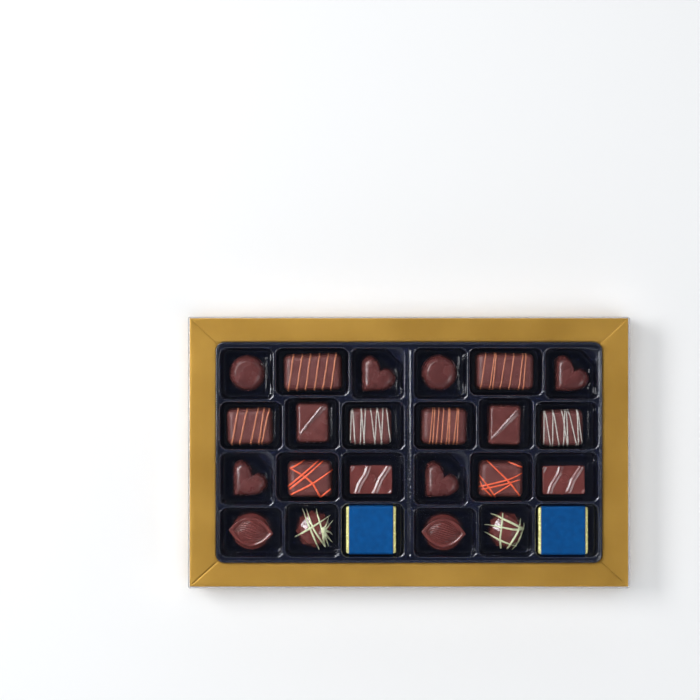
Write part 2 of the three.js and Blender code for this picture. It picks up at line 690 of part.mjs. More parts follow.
function makeBand() {
  const inner = crosswisePrism(BAND_LENGTH + 2, FOIL_WIDTH + 2 * BAND_GAP, FOIL_HEIGHT + 2 * BAND_GAP,
    1.6 + BAND_GAP, 0);
  const grow = BAND_GAP + BAND_SHEET;
  const outer = crosswisePrism(BAND_LENGTH, FOIL_WIDTH + 2 * grow, FOIL_HEIGHT + 2 * grow, 1.6 + grow, 0);
  return outer.subtract(inner.translate([0, 0, BAND_SHEET]));
}

const PRALINE_MAKERS = {
  round: makeRound,
  finger: makeFinger,
  heart: makeHeart,
  striped: makeStriped,
  ridged: makeRidged,
  zigzag: makeZigzag,
  drizzled: makeDrizzled,
  wave: makeWave,
  pod: makePod,
  gem: makeGem,
};

const MILK_KINDS = ['finger', 'striped', 'zigzag', 'drizzled'];

function addPiece(group, name, geometry, material, x = 0, y = 0, z = 0, turn = 0) {
  const mesh = new THREE.Mesh(geometry, material);
  mesh.name = name;
  mesh.position.set(x, y, z);
  mesh.rotation.z = turn;
  group.add(mesh);
}

function addPraline(group, cell) {
  const place = [cell.pralineX, cell.pralineY];
  const seat = cell.floor + SEAT_GAP;
  if (cell.kind === 'foil') {
    const lift = BAND_GAP + BAND_SHEET;
    addPiece(group, `foil_square_${cell.variant}`, toGeometry(makeFoil()), GOLD_FOIL,
      ...place, seat + lift, cell.turn);
    addPiece(group, `paper_band_${cell.variant}`, toGeometry(makeBand()), BLUE_PAPER,
      ...place, seat, cell.turn);
    return;
  }
  const material = MILK_KINDS.includes(cell.kind) ? MILK_CHOCOLATE : DARK_CHOCOLATE;
  const solid = PRALINE_MAKERS[cell.kind](cell.variant);
  addPiece(group, cell.name, toGeometry(solid), material, ...place, seat, cell.turn);
}

const box = new THREE.Group();
const cells = listCells();
addPiece(box, 'card_base', makeBase(), GOLD_CARD);
addPiece(box, 'moulded_insert', makeInsert(cells), BLACK_PLASTIC);
addPiece(box, 'clear_lid', makeLid(), CLEAR_PLASTIC);
for (const cell of cells) {
  addPraline(box, cell);
}

export default box;
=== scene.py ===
# %% [markdown]
# # A flat box of pralines
# The box is gold card with a dark moulded insert, 24 pralines and a clear lid over the top.
# This lesson dresses each CAD solid with a finished piece of the same form. Most pieces are lofts,
# which are stacks of rings, because a praline, a cell and a folded lid are all made by one outline
# that changes as it rises. The icing is laid on the pralines with Geometry Nodes.
# Shapes are worked out in millimetres and turned into Blender's metres when a mesh is made. The
# finishes, the lights and the camera are in metres from the start.

# %% Load the frame
import math

import bmesh
import bpy
import numpy as np
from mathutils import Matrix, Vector
from mathutils.geometry import delaunay_2d_cdt


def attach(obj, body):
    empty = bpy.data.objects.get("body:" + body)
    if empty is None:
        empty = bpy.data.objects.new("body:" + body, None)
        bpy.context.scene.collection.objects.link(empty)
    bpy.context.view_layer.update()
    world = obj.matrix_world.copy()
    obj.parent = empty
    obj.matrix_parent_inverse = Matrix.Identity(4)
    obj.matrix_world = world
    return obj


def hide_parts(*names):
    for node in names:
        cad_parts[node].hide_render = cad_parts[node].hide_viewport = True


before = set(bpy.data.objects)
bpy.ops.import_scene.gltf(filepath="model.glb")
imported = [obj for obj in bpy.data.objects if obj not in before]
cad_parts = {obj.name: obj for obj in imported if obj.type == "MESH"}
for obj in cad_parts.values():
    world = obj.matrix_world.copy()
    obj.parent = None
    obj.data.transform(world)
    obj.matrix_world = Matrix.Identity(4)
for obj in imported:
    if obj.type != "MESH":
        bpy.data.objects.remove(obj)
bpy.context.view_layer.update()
MM = 0.001

# %% [markdown]
# ## Rounded outlines
# Nearly everything in the box is a rounded rectangle seen from above. Blender's own cube with a
# Bevel would give one, but every ring of a loft needs the same number of points in the same order,
# or the skin between two rings would twist. So one function always gives the same points.

# %% Rounded outline
def rounded_outline(length, width, corner, arc=8, along=14, across=12):
    """Rounded rectangle in the plane, anticlockwise, with the same points for every size."""
    radius = max(min(corner, length / 2 - 0.01, width / 2 - 0.01), 0.05)
    reach_x, reach_y = length / 2 - radius, width / 2 - radius
    centres = [(reach_x, reach_y), (-reach_x, reach_y), (-reach_x, -reach_y), (reach_x, -reach_y)]
    points = []
    for quarter in range(4):
        here, ahead = np.array(centres[quarter]), np.array(centres[(quarter + 1) % 4])
        angles = (quarter + np.linspace(0, 1, arc + 1)) * math.pi / 2
        points.append(here + radius * np.column_stack([np.cos(angles), np.sin(angles)]))
        steps = along if quarter % 2 == 0 else across
        share = (np.arange(1, steps) / steps)[:, None]
        offset = radius * np.array([math.cos(angles[-1]), math.sin(angles[-1])])
        points.append(here * (1 - share) + ahead * share + offset)
    return np.vstack(points)


print("points in an outline:", len(rounded_outline(30, 20, 4)))

# %% [markdown]
# ## Smooth paths
# Poured chocolate has no corners. A profile is given by the few points that matter, and a soft
# curve through them gives it its shoulders. It is worked out here rather than with a curve object,
# because its points are needed as plain numbers for the rings.

# %% Smooth path
def smooth_path(points, samples):
    """Soft line through the points, with even steps along its length."""
    given = np.array(points, float)
    if len(given) == 2:
        share = np.linspace(0, 1, samples)[:, None]
        return given[0] * (1 - share) + given[1] * share
    ends = np.vstack([2 * given[0] - given[1], given, 2 * given[-1] - given[-2]])
    share = np.linspace(0, 1, 20, endpoint=False)[:, None]
    runs = []
    for i in range(len(given) - 1):
        a, b, c, d = ends[i:i + 4]
        runs.append(0.5 * (2 * b + (c - a) * share + (2 * a - 5 * b + 4 * c - d) * share ** 2
                           + (3 * b - 3 * c + d - a) * share ** 3))
    fine = np.vstack([*runs, given[-1:]])
    along = np.r_[0, np.cumsum(np.linalg.norm(np.diff(fine, axis=0), axis=1))]
    wanted = np.linspace(0, along[-1], samples)
    return np.column_stack([np.interp(wanted, along, fine[:, k]) for k in range(fine.shape[1])])


print("a soft path through 3 points is", round(float(smooth_path([(0, 0), (5, 2), (10, 0)], 9)[4, 1]), 2),
      "mm high in its middle")

# %% [markdown]
# ## Soft masks and uneven values
# Relief must fade out at the edge of a top, and handmade things are never quite even. A soft step
# makes the fading, and a few sine waves in random directions make the unevenness. A Noise texture
# could do the second, but these waves can be worked out while a piece is still rings of points.

# %% Soft step and soft noise
def smooth_step(value, low, high):
    """0 below low, 1 above high and a soft rise between them."""
    share = np.clip((value - low) / (high - low), 0, 1)
    return share * share * (3 - 2 * share)


def soft_noise(points, wavelength, seed, waves=8):
    """Smooth uneven values of about -1 to 1, from a few waves in random directions."""
    rng = np.random.default_rng(seed)
    total = np.zeros(points.shape[:-1])
    for _ in range(waves):
        direction = rng.normal(size=points.shape[-1])
        direction /= np.linalg.norm(direction)
        length = wavelength * rng.uniform(0.7, 1.5)
        total += np.sin(points @ direction * 2 * math.pi / length + rng.uniform(0, 2 * math.pi))
    return total / 5


print("halfway up a soft step:", float(smooth_step(0.5, 0, 1)))

# %% [markdown]
# ## Rings into meshes
# A praline could be sculpted or be a cube with Subdivision Surface, but then its height and its
# shoulders would be hard to set. A loft joins each ring to the next with quads, so its profile is
# just a list. Both ends are closed by a fan round one centre point, so no pole is left open.

# %% Rings and lofts
def at_height(outline, height):
    """Flat outline as a ring of points at one height."""
    return np.column_stack([outline, np.full(len(outline), height)])


def close_top(rings, crown, steps, power=1):
    """Stack of rings with more rings that shrink to the middle of the last one and rise by a crown."""
    edge, closed = rings[-1], list(rings)
    for share in np.linspace(1, 0, steps)[1:-1]:
        ring = edge.copy()
        ring[:, :2] *= share
        ring[:, 2] += crown * (1 - share ** 2) ** power
        closed.append(ring)
    return np.array(closed)


def ring_faces(levels, count, first=0, closed_levels=False):
    """Quads between stacked rings of one count. The rings run anticlockwise, from low to high."""
    faces = []
    for level in range(levels if closed_levels else levels - 1):
        low, high = first + level * count, first + (level + 1) % levels * count
        for i in range(count):
            ahead = (i + 1) % count
            faces.append((low + i, low + ahead, high + ahead, high + i))
    return faces


def closed_loft(rings):
    """Points and faces of a stack of rings with a fan at the bottom and at the top."""
    rings = np.asarray(rings, float)
    levels, count = rings.shape[:2]
    points = np.vstack([rings.reshape(-1, 3), rings[0].mean(0), rings[-1].mean(0)])
    bottom, top, last = levels * count, levels * count + 1, (levels - 1) * count
    faces = ring_faces(levels, count)
    for i in range(count):
        ahead = (i + 1) % count
        faces.append((bottom, ahead, i))
        faces.append((top, last + i, last + ahead))
    return points, faces


sample = closed_loft([at_height(rounded_outline(9, 9, 1), z) for z in (0, 1, 2)])
print("faces of a closed loft of 3 rings:", len(sample[1]))

# %% [markdown]
# ## Pieces that stand for solids
# A piece's place is written into its mesh, as a CAD node's is, so nothing has to be moved later.
# Each piece hangs under one root and hides the solids it replaces.

# %% Make and dress a piece
def add_object(name, data):
    """Object in the scene for a mesh, a light or a camera."""
    thing = bpy.data.objects.new(name, data)
    bpy.context.scene.collection.objects.link(thing)
    return thing


def make_object(name, points_mm, faces, smooth=True):
    """Mesh object from points in millimetres."""
    mesh = bpy.data.meshes.new(name)
    mesh.from_pydata((np.asarray(points_mm, float) * MM).tolist(), [], faces)
    mesh.polygons.foreach_set("use_smooth", [smooth] * len(mesh.polygons))
    mesh.update()
    return add_object(name, mesh)


def bake_modifiers(piece):
    """Turns a piece with live modifiers into a plain mesh."""
    evaluated = piece.evaluated_get(bpy.context.evaluated_depsgraph_get())
    mesh = bpy.data.meshes.new_from_object(evaluated)
    piece.modifiers.clear()
    piece.data = mesh
    return piece


def dress(piece, material, nodes):
    """Gives a piece its material, hangs it under the root and hides the CAD nodes it stands for."""
    if material is not None:
        piece.data.materials.clear()
        piece.data.materials.append(material)
    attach(piece, "root")
    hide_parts(*nodes)
    return piece


print("millimetres in one of Blender's units:", round(1 / MM))

# %% [markdown]
# ## Colours and node trees
# Colours are written as they would be read off a screen, and turned into linear light here.
# Shader and geometry trees are wired by one helper. A node's settings and inputs are given when the
# node is made: a plain value is set on the socket, and another node's output is linked to it.

# %% Colours and the node helper
def linear(red, green, blue):
    """Screen colour from 0 to 255 as the linear colour that a shader wants."""
    values = [channel / 255 for channel in (red, green, blue)]
    bright = [v / 12.92 if v <= 0.04045 else ((v + 0.055) / 1.055) ** 2.4 for v in values]
    return (*bright, 1)


def connect(tree, node, inputs):
    """Sets sockets of a node to plain values or links them to other nodes' outputs."""
    for name, value in inputs.items():
        if isinstance(value, bpy.types.NodeSocket):
            tree.links.new(value, node.inputs[name])
        else:
            node.inputs[name].default_value = value


def add_node(tree, kind, inputs=None, **settings):
    """New node with its own settings and its inputs."""
    node = tree.nodes.new(kind)
    for name, value in settings.items():
        setattr(node, name, value)
    connect(tree, node, inputs or {})
    return node


def open_tree(name, kind, inputs, outputs):
    """New node tree with its group sockets, the outputs of its input node and its output node."""
    tree = bpy.data.node_groups.new(name, kind)
    for in_out, rows in (("INPUT", inputs), ("OUTPUT", outputs)):
        for socket_name, socket_kind, *value in rows:
            socket = tree.interface.new_socket(socket_name, in_out=in_out,
                                               socket_type="NodeSocket" + socket_kind)
            if value:
                socket.default_value = value[0]
    return tree, tree.nodes.new("NodeGroupInput").outputs, tree.nodes.new("NodeGroupOutput")


print("mid grey in linear light:", round(linear(128, 128, 128)[0], 3))

# %% [markdown]
# ## Shared effects
# Chocolate, card, moulded plastic and icing are all a little uneven in colour and in gloss, and
# have a fine grain. One shader group makes the three from noise on Object coordinates, so that the
# pattern stays on the piece from every side. Each material places the group with its own values.

# %% Shared group
MOTTLE_SPREAD = (0.34, 0.66)


def uneven_finish_group():
    """Group with uneven colour, uneven roughness and a grained normal."""
    inputs = [("Light Colour", "Color", (0.8, 0.8, 0.8, 1)), ("Dark Colour", "Color", (0.6, 0.6, 0.6, 1)),
              ("Mottle Scale", "Float", 90), ("Low Roughness", "Float", 0.3),
              ("High Roughness", "Float", 0.4), ("Grain Scale", "Float", 2500),
              ("Grain Strength", "Float", 0.2), ("Grain Depth", "Float", 0.0001)]
    outputs = [("Colour", "Color"), ("Roughness", "Float"), ("Normal", "Vector")]
    tree, given, out = open_tree("Uneven Finish", "ShaderNodeTree", inputs, outputs)
    place = add_node(tree, "ShaderNodeTexCoord").outputs["Object"]
    mottle = add_node(tree, "ShaderNodeTexNoise",
                      {"Vector": place, "Scale": given["Mottle Scale"], "Detail": 4})
    grain = add_node(tree, "ShaderNodeTexNoise",
                     {"Vector": place, "Scale": given["Grain Scale"], "Detail": 3})
    spread = add_node(tree, "ShaderNodeMapRange",
                      {"Value": mottle.outputs["Fac"], "From Min": MOTTLE_SPREAD[0],
                       "From Max": MOTTLE_SPREAD[1]}).outputs["Result"]
    blend = add_node(tree, "ShaderNodeMix", {"Factor": spread, "A": given["Dark Colour"],
                                             "B": given["Light Colour"]}, data_type="RGBA")
    gloss = add_node(tree, "ShaderNodeMapRange", {"Value": spread, "To Min": given["Low Roughness"],
                                                  "To Max": given["High Roughness"]})
    bump = add_node(tree, "ShaderNodeBump", {"Height": grain.outputs["Fac"],
                                             "Strength": given["Grain Strength"],
                                             "Distance": given["Grain Depth"]})
    connect(tree, out, {"Colour": blend.outputs["Result"], "Roughness": gloss.outputs["Result"],
                        "Normal": bump.outputs["Normal"]})
    return tree


UNEVEN_FINISH = uneven_finish_group()
print("shared group:", UNEVEN_FINISH.name, "with", len(UNEVEN_FINISH.nodes), "nodes")

# %% [markdown]
# ## Card, plastic, foil and paper
# The card is printed in a satin gold that is only partly metallic, and the foil shines more but is
# thin and crinkled. The moulded plastic is nearly black and glossy, so it takes a full coat. Each
# finish is one call with its two colours, how matt it is, its grain and the shader's own values,
# because tuning one finish should not mean wiring a tree again.

# %% Make a material from the shared group
def finish(name, light, dark, roughness, mottle=90, grain=2500, strength=0.2, depth=0.0001,
           metallic=0.0, coat=0.0, coat_roughness=0.1, specular=0.5):
    """Material whose colour, roughness and normal come from the shared group."""
    material = bpy.data.materials.new(name)
    material.use_nodes = True
    tree = material.node_tree
    group = add_node(tree, "ShaderNodeGroup", {
        "Light Colour": linear(*light), "Dark Colour": linear(*dark), "Mottle Scale": mottle,
        "Low Roughness": roughness[0], "High Roughness": roughness[1], "Grain Scale": grain,
        "Grain Strength": strength, "Grain Depth": depth}, node_tree=UNEVEN_FINISH)
    connect(tree, tree.nodes["Principled BSDF"], {
        "Base Color": group.outputs["Colour"], "Roughness": group.outputs["Roughness"],
        "Normal": group.outputs["Normal"], "Metallic": metallic, "Coat Weight": coat,
        "Coat Roughness": coat_roughness, "IOR": 1.5, "Specular IOR Level": specular})
    return material


GOLD_CARD = finish("gold card", (188, 145, 61), (178, 135, 53), (0.42, 0.48),
                   mottle=30, grain=5200, strength=0.12, depth=0.00006, metallic=0.6)
DARK_PLASTIC = finish("dark moulded plastic", (10, 14, 32), (8, 11, 27), (0.1, 0.14),
                      mottle=25, grain=900, strength=0.02, coat=1, coat_roughness=0.04, specular=0.8)
GOLD_FOIL = finish("gold foil", (244, 238, 162), (226, 216, 134), (0.2, 0.3),
                   mottle=600, grain=1600, strength=0.3, depth=0.0003, metallic=0.25)
BLUE_PAPER = finish("blue paper", (0, 72, 130), (0, 63, 117), (0.5, 0.6),
                    mottle=260, grain=3600, strength=0.12, depth=0.00008, specular=0.1)
PACKAGING = (GOLD_CARD, DARK_PLASTIC, GOLD_FOIL, BLUE_PAPER)
print("packaging:", [material.name for material in PACKAGING])

# %% [markdown]
# ## Chocolate
# Chocolate that is coated by hand dries satin. Chocolate from a polished mould comes out glossy,
# which a coat over the rougher base shows best. Light does enter chocolate a little, but hardly
# enough to see at this size, so subsurface scattering is left off.

# %% Four kinds of chocolate
MILK_CHOCOLATE = finish("milk chocolate", (102, 56, 53), (89, 47, 45), (0.34, 0.44),
                        mottle=130, grain=1700, strength=0.16, depth=0.00012)
DARK_CHOCOLATE = finish("dark chocolate", (93, 48, 46), (81, 41, 40), (0.24, 0.3),
                        mottle=120, grain=1500, strength=0.08, coat=0.4, coat_roughness=0.16)
FOLDED_CHOCOLATE = finish("folded chocolate", (101, 55, 52), (89, 46, 44), (0.22, 0.28),
                          mottle=120, grain=1500, strength=0.08, coat=0.5, coat_roughness=0.14)
MOULDED_CHOCOLATE = finish("moulded chocolate", (107, 54, 51), (95, 47, 44), (0.16, 0.2),
                           mottle=120, grain=1500, strength=0.05, coat=1)
CHOCOLATES = (MILK_CHOCOLATE, DARK_CHOCOLATE, FOLDED_CHOCOLATE, MOULDED_CHOCOLATE)
print("chocolates:", [chocolate.name for chocolate in CHOCOLATES])

# %% [markdown]
# ## Icing
# The icing on the pralines is a coloured fat glaze, smooth and satin, so it needs no more than a
# fine mottle. The four colours share their grain.

# %% Four kinds of icing
ICING_GRAIN = {"mottle": 500, "strength": 0.1}
CARAMEL_ICING = finish("caramel icing", (186, 119, 88), (170, 103, 74), (0.3, 0.38), **ICING_GRAIN)
WHITE_ICING = finish("white icing", (196, 192, 184), (168, 162, 154), (0.34, 0.42), **ICING_GRAIN)
CORAL_ICING = finish("coral icing", (238, 106, 68), (222, 88, 52), (0.32, 0.4), **ICING_GRAIN)
CREAM_ICING = finish("cream icing", (214, 220, 182), (196, 202, 160), (0.34, 0.42), **ICING_GRAIN)
print("materials:", [material.name for material in bpy.data.materials])

# %% [markdown]
# ## Clear film
# The lid is a thin clear sheet. Cycles would let almost no direct light through real glass, so the
# material shows a transparent shader to shadow rays, and the pralines stay lit. A sheet that is
# looked at edge-on gathers light and turns pale, so a little translucent white comes in there.

# %% Clear film material
PALE_FROM, PALE_MOST = 0.6, 0.6


def clear_film():
    """Clear plastic that lets the light through to what lies under it and is pale edge-on."""
    material = bpy.data.materials.new("clear film")
    material.use_nodes = True
    tree = material.node_tree
    shader = tree.nodes["Principled BSDF"]
    connect(tree, shader, {"Base Color": (0.97, 0.98, 1, 1), "Roughness": 0.02, "IOR": 1.45,
                           "Transmission Weight": 1})
    pale = add_node(tree, "ShaderNodeBsdfTranslucent", {"Color": (0.86, 0.91, 1, 1)})
    facing = add_node(tree, "ShaderNodeLayerWeight")
    steep = add_node(tree, "ShaderNodeMapRange", {"Value": facing.outputs["Facing"],
                                                  "From Min": PALE_FROM, "To Max": PALE_MOST})
    edge = add_node(tree, "ShaderNodeMixShader", {"Fac": steep.outputs["Result"],
                                                  1: shader.outputs["BSDF"], 2: pale.outputs["BSDF"]})
    clear = add_node(tree, "ShaderNodeBsdfTransparent")
    rays = add_node(tree, "ShaderNodeLightPath")
    mix = add_node(tree, "ShaderNodeMixShader", {"Fac": rays.outputs["Is Shadow Ray"],
                                                 1: edge.outputs["Shader"], 2: clear.outputs["BSDF"]})
    connect(tree, tree.nodes["Material Output"], {"Surface": mix.outputs["Shader"]})
    return material


CLEAR_FILM = clear_film()
print("clear film nodes:", len(CLEAR_FILM.node_tree.nodes))

# %% [markdown]
# ## Where the pralines lie
# The cells follow the CAD source: four rows of three in each half, with 2 mm of land between them.
# A hand puts every praline in, so each has its own small shift and turn. A random shift would be
# less work, but then the dressed pralines would not lie where their solids lie.

# %% Rows of cells
# Each row runs from the left. A cell has its kind, its width, its back and front edges, and the
# shift in x and y and the turn in degrees of its praline in the left half and in the right half.
CELL_ROWS = [
    [("round", 35.3, 69.9, 35.5, (0.3, 0.4, 20), (-0.4, 0.6, 65)),
     ("finger", 48.7, 69.9, 38.2, (0.4, -0.3, 1.5), (-0.5, 0.2, -1)),
     ("heart", 35.3, 69.9, 35.5, (0.8, 0.4, 2), (1.1, 0.3, 0))],
    [("striped", 41.5, 33.8, 1.9, (-1.2, -0.6, 1), (-0.4, -0.5, -1)),
     ("ridged", 36.2, 36.4, 1.9, (0.4, 0.5, 1), (-0.4, -1.1, -1.5)),
     ("zigzag", 41.6, 33.8, 1.9, (-1.7, -0.6, 0), (-2.6, -1.6, 1))],
    [("heart", 35.7, -0.1, -35.6, (2.2, 0.4, 1), (1.5, -0.4, 0)),
     ("drizzled", 41.7, -0.1, -32.9, (1.6, -1.7, 1), (0, -1.7, -1)),
     ("wave", 41.9, -0.1, -32.9, (-1.1, -2, 0), (-1.7, -2.2, 0.5))],
    [("pod", 41.7, -37.2, -70.1, (-0.3, 0.1, -5), (-0.8, -0.6, -3)),
     ("gem", 35.7, -34.6, -70.1, (0.9, 0.3, 0), (0.4, -0.3, 8)),
     ("foil", 41.9, -34.6, -70.1, (-1.1, 0.3, 0), (-2.3, -0.1, 0))],
]
CELL_GAP, HALF_MIDDLE, HALF_LENGTH = 2, 65, 123.3
CELL_FLOOR, FOIL_CELL_FLOOR, SEAT_GAP = 9.6, 16.6, 0.3
FIRST_SEED = 11
print("cells in each half:", sum(len(row) for row in CELL_ROWS))

# %% [markdown]
# ## One list of cells
# Everything that follows asks for a cell's centre, size, floor, praline and seed, so both halves
# are put into one list of plain dictionaries. A second helper turns a praline into its cell.

# %% Cells of both halves
def list_cells():
    """Every cell with its edges, its floor and the place of its praline, in millimetres."""
    cells = []
    for side, sign in [("left", -1), ("right", 1)]:
        for row, entries in enumerate(CELL_ROWS, 1):
            edge = sign * HALF_MIDDLE - HALF_LENGTH / 2
            for column, (kind, width, back, front, left, right) in enumerate(entries, 1):
                shift_x, shift_y, turn = left if side == "left" else right
                floor = FOIL_CELL_FLOOR if kind == "foil" else CELL_FLOOR
                centre = np.array([edge + width / 2, (back + front) / 2])
                cells.append({
                    "name": f"{kind}_{side}_row{row}_cell{column}", "kind": kind, "side": side,
                    "centre": centre, "size": (width, back - front), "floor": floor,
                    "praline": centre + (shift_x, shift_y), "turn": math.radians(turn),
                    "seed": len(cells) + FIRST_SEED})
                edge += width + CELL_GAP
    return cells


CELLS = list_cells()


def place_in_cell(points, cell):
    """Turns and moves points from the praline's own centre to its place in the cell."""
    cosine, sine = math.cos(cell["turn"]), math.sin(cell["turn"])
    x, y = points[..., 0], points[..., 1]
    placed = np.empty_like(points)
    placed[..., 0] = x * cosine - y * sine + cell["praline"][0]
    placed[..., 1] = x * sine + y * cosine + cell["praline"][1]
    placed[..., 2] = points[..., 2] + cell["floor"] + SEAT_GAP
    return placed


print("cells:", len(CELLS))

# %% [markdown]
# ## Poured and moulded bodies
# A coated praline has soft shoulders, a crown that is not quite flat and a small foot where the
# liquid chocolate ran out. A moulded one has steeper walls and crisp edges. Both are the same
# loft: rings set in along a profile, and then rings that shrink to the middle of the top. Relief
# needs many points along the outline as well as many rings, so a moulded top asks for both.

# %% Pillow body
CORNER_EASE, WALL_RINGS = 0.6, 26


def pillow_rings(length, width, corner, profile, crown=0.2, top_rings=34, fine=1):
    """Rings of a body on a rounded rectangle. The profile has [set in, height] pairs."""
    rings = []
    for set_in, height in smooth_path(profile, WALL_RINGS):
        outline = rounded_outline(length - 2 * set_in, width - 2 * set_in, corner - set_in * CORNER_EASE,
                                  along=14 * fine, across=12 * fine)
        rings.append(at_height(outline, height))
    return close_top(rings, crown, top_rings + 1)


print("rings in a pillow:", len(pillow_rings(20, 20, 3, [(0, 0), (0, 5), (1, 6)])))

# %% [markdown]
# ## Handmade unevenness
# No two dipped pralines are the same. A Displace modifier could move their skin, but it would also
# lift the foot off the floor of the cell and swell the sides past the solid. This way the sides
# only go inwards, the foot stays down and the top keeps below its height.

# %% Uneven rings and their pieces
def make_uneven(rings, seed, side=0.18, top=0.1, wavelength=11):
    """Moves the rings a little, inwards at the sides and down on the top, as hand dipping does."""
    height = rings[..., 2].max()
    rise = smooth_step(rings[..., 2], 0.3, 0.3 * height)
    away = rings[..., :2] / np.maximum(np.linalg.norm(rings[..., :2], axis=-1, keepdims=True), 1)
    sway = soft_noise(rings, wavelength, seed) * side * (0.35 + 0.65 * rise)
    reach = smooth_step(np.linalg.norm(rings[..., :2], axis=-1), 2, 7)
    rings[..., :2] -= away * ((side - sway) * reach)[..., None]
    lift = soft_noise(rings[..., :2], wavelength * 0.8, seed + 100) * top
    rings[..., 2] += lift * smooth_step(rings[..., 2], 0.6 * height, 0.95 * height) - top * rise
    return rings


bodies = {}


def build_kinds(kinds, make_rings, material):
    """Makes every praline of the given kinds in its own cell, and keeps it for its icing."""
    for cell in CELLS:
        if cell["kind"] in kinds:
            points, faces = closed_loft(place_in_cell(make_rings(cell), cell))
            piece = make_object("praline_" + cell["name"], points, faces)
            bodies[cell["name"]] = dress(piece, material, [cell["name"]])
    print("pralines so far:", len(bodies))

# %% [markdown]
# ## Coated bars
# Striped, zigzag, drizzled and long bars are cut from a slab and coated, so their top edges are
# round and their sides lean in. They share one profile of milk chocolate and differ in length.
# A box with a bevel would have the same roundness below as above, which a coated bar has not.

# %% Coated bars
BAR_WIDTH, BAR_HEIGHT, BAR_CORNER = 25.2, 14, 4.2
BAR_LENGTHS = {"striped": 31.8, "finger": 40, "zigzag": 29.2, "drizzled": 30.5}
COATED_PROFILE = [(1.6, 0), (0.35, 0.12), (0, 0.9), (0.12, 3), (0.35, 6), (0.8, 9.4), (1.6, 11.9),
                  (2.9, 13.3), (4.6, 13.95)]


def coated_bar(cell):
    """Rings of one bar, as long as its kind is."""
    rings = pillow_rings(BAR_LENGTHS[cell["kind"]], BAR_WIDTH, BAR_CORNER, COATED_PROFILE, 0.15)
    return make_uneven(rings, cell["seed"])


build_kinds(list(BAR_LENGTHS), coated_bar, MILK_CHOCOLATE)

# %% [markdown]
# ## Relief on the moulded pralines
# A mould leaves ridges. They could be meshes of their own or a bump, but a bump has no outline and
# loose meshes would show a seam. Here each ridge is a height that depends on how far a point of
# the top lies from the ridge's line, which keeps the top one closed skin.

# %% Distance to a ridge
def ridge_distance(points, route):
    """Signed distance to a path, positive on its left, and how far along the path (0 to 1)."""
    path = smooth_path(route, 60)
    along = path[1:] - path[:-1]
    lengths = np.linalg.norm(along, axis=1)
    flat = points[..., :2].reshape(-1, 2)
    offset = flat[:, None, :] - path[None, :-1, :]
    share = np.clip((offset * along).sum(-1) / lengths ** 2, 0, 1)
    away = offset - share[..., None] * along
    distance = np.linalg.norm(away, axis=-1)
    nearest = distance.argmin(1)
    row = np.arange(len(flat))
    side = np.sign(along[nearest, 0] * offset[row, nearest, 1]
                   - along[nearest, 1] * offset[row, nearest, 0])
    position = (nearest + share[row, nearest]) / len(along)
    shape = points.shape[:-1]
    return (distance[row, nearest] * side).reshape(shape), position.reshape(shape)


def top_mask(rings, depth=1.2):
    """1 on the top of a body, falling to 0 down its sides."""
    high = rings[..., 2].max()
    return smooth_step(rings[..., 2], high - 2 * depth, high - 0.4 * depth)


_, halfway = ridge_distance(np.array([[5.0, 0.0]]), [(0, 0), (10, 0)])
print("a point beside the middle of a ridge is this far along it:", round(float(halfway[0]), 2))

# %% [markdown]
# ## Squares with one fold
# The upright square has a single blade-like fold. Its left flank is soft and catches the light, and
# on its right the surface drops to a facet that widens to the back before it comes up again.
# The fold is not the same on both sides, so each side of the line gets a formula of its own.

# %% Squares with one fold
RIDGED_PROFILE = [(1.4, 0), (0.3, 0.12), (0, 0.8), (0.2, 4), (0.65, 8.6), (1.2, 11), (2, 12.4), (3.2, 12.9)]
RIDGED_LENGTH, RIDGED_WIDTH, RIDGED_CORNER = 23.2, 28.2, 3.4
FOLD_ROUTES = {"left": [(-10.4, -10.2), (-1, 1.5), (8.6, 12.9)],
               "right": [(-9.6, -11), (0, 0.6), (11, 13.2)]}
FOLD_HEIGHT, FOLD_FLANK, FOLD_DROP, FOLD_STEP, FACET_SLOPE = 0.5, 1.15, 0.25, 0.4, 0.42
FACET_NARROW, FACET_WIDENS, FACET_RETURN = 0.3, 2.3, 5


def ridged_rings(cell):
    """Rings of one square with the fold across its top."""
    rings = make_uneven(pillow_rings(RIDGED_LENGTH, RIDGED_WIDTH, RIDGED_CORNER, RIDGED_PROFILE, 0.1,
                                     top_rings=72, fine=6), cell["seed"], side=0.12, top=0.06)
    distance, share = ridge_distance(rings, FOLD_ROUTES[cell["side"]])
    ends = smooth_step(share, 0, 0.1) * (1 - smooth_step(share, 0.92, 1))
    left = FOLD_HEIGHT * np.clip(1 - distance / FOLD_FLANK, 0, 1)
    past, width = -distance, FACET_NARROW + FACET_WIDENS * share
    foot, edge = FOLD_HEIGHT - FOLD_STEP, FOLD_DROP + width
    facet = FOLD_HEIGHT - FOLD_STEP * np.clip(past / FOLD_DROP, 0, 1)
    facet = facet - FACET_SLOPE * np.clip(past - FOLD_DROP, 0, width)
    back_up = (foot - FACET_SLOPE * width) * (1 - smooth_step(past, edge, edge + FACET_RETURN))
    right = np.where(past < edge, facet, back_up)
    rings[..., 2] += np.where(distance > 0, left, right) * ends * top_mask(rings)
    return rings


build_kinds(["ridged"], ridged_rings, FOLDED_CHOCOLATE)

# %% [markdown]
# ## Hearts
# The heart has one square corner, two lobes and a cleft between them. Insetting its outline evenly
# would make the cleft cross itself, so its rings are scaled copies about the crown instead, and
# the cleft runs up into the crown by itself. The outline goes through a few points round it.

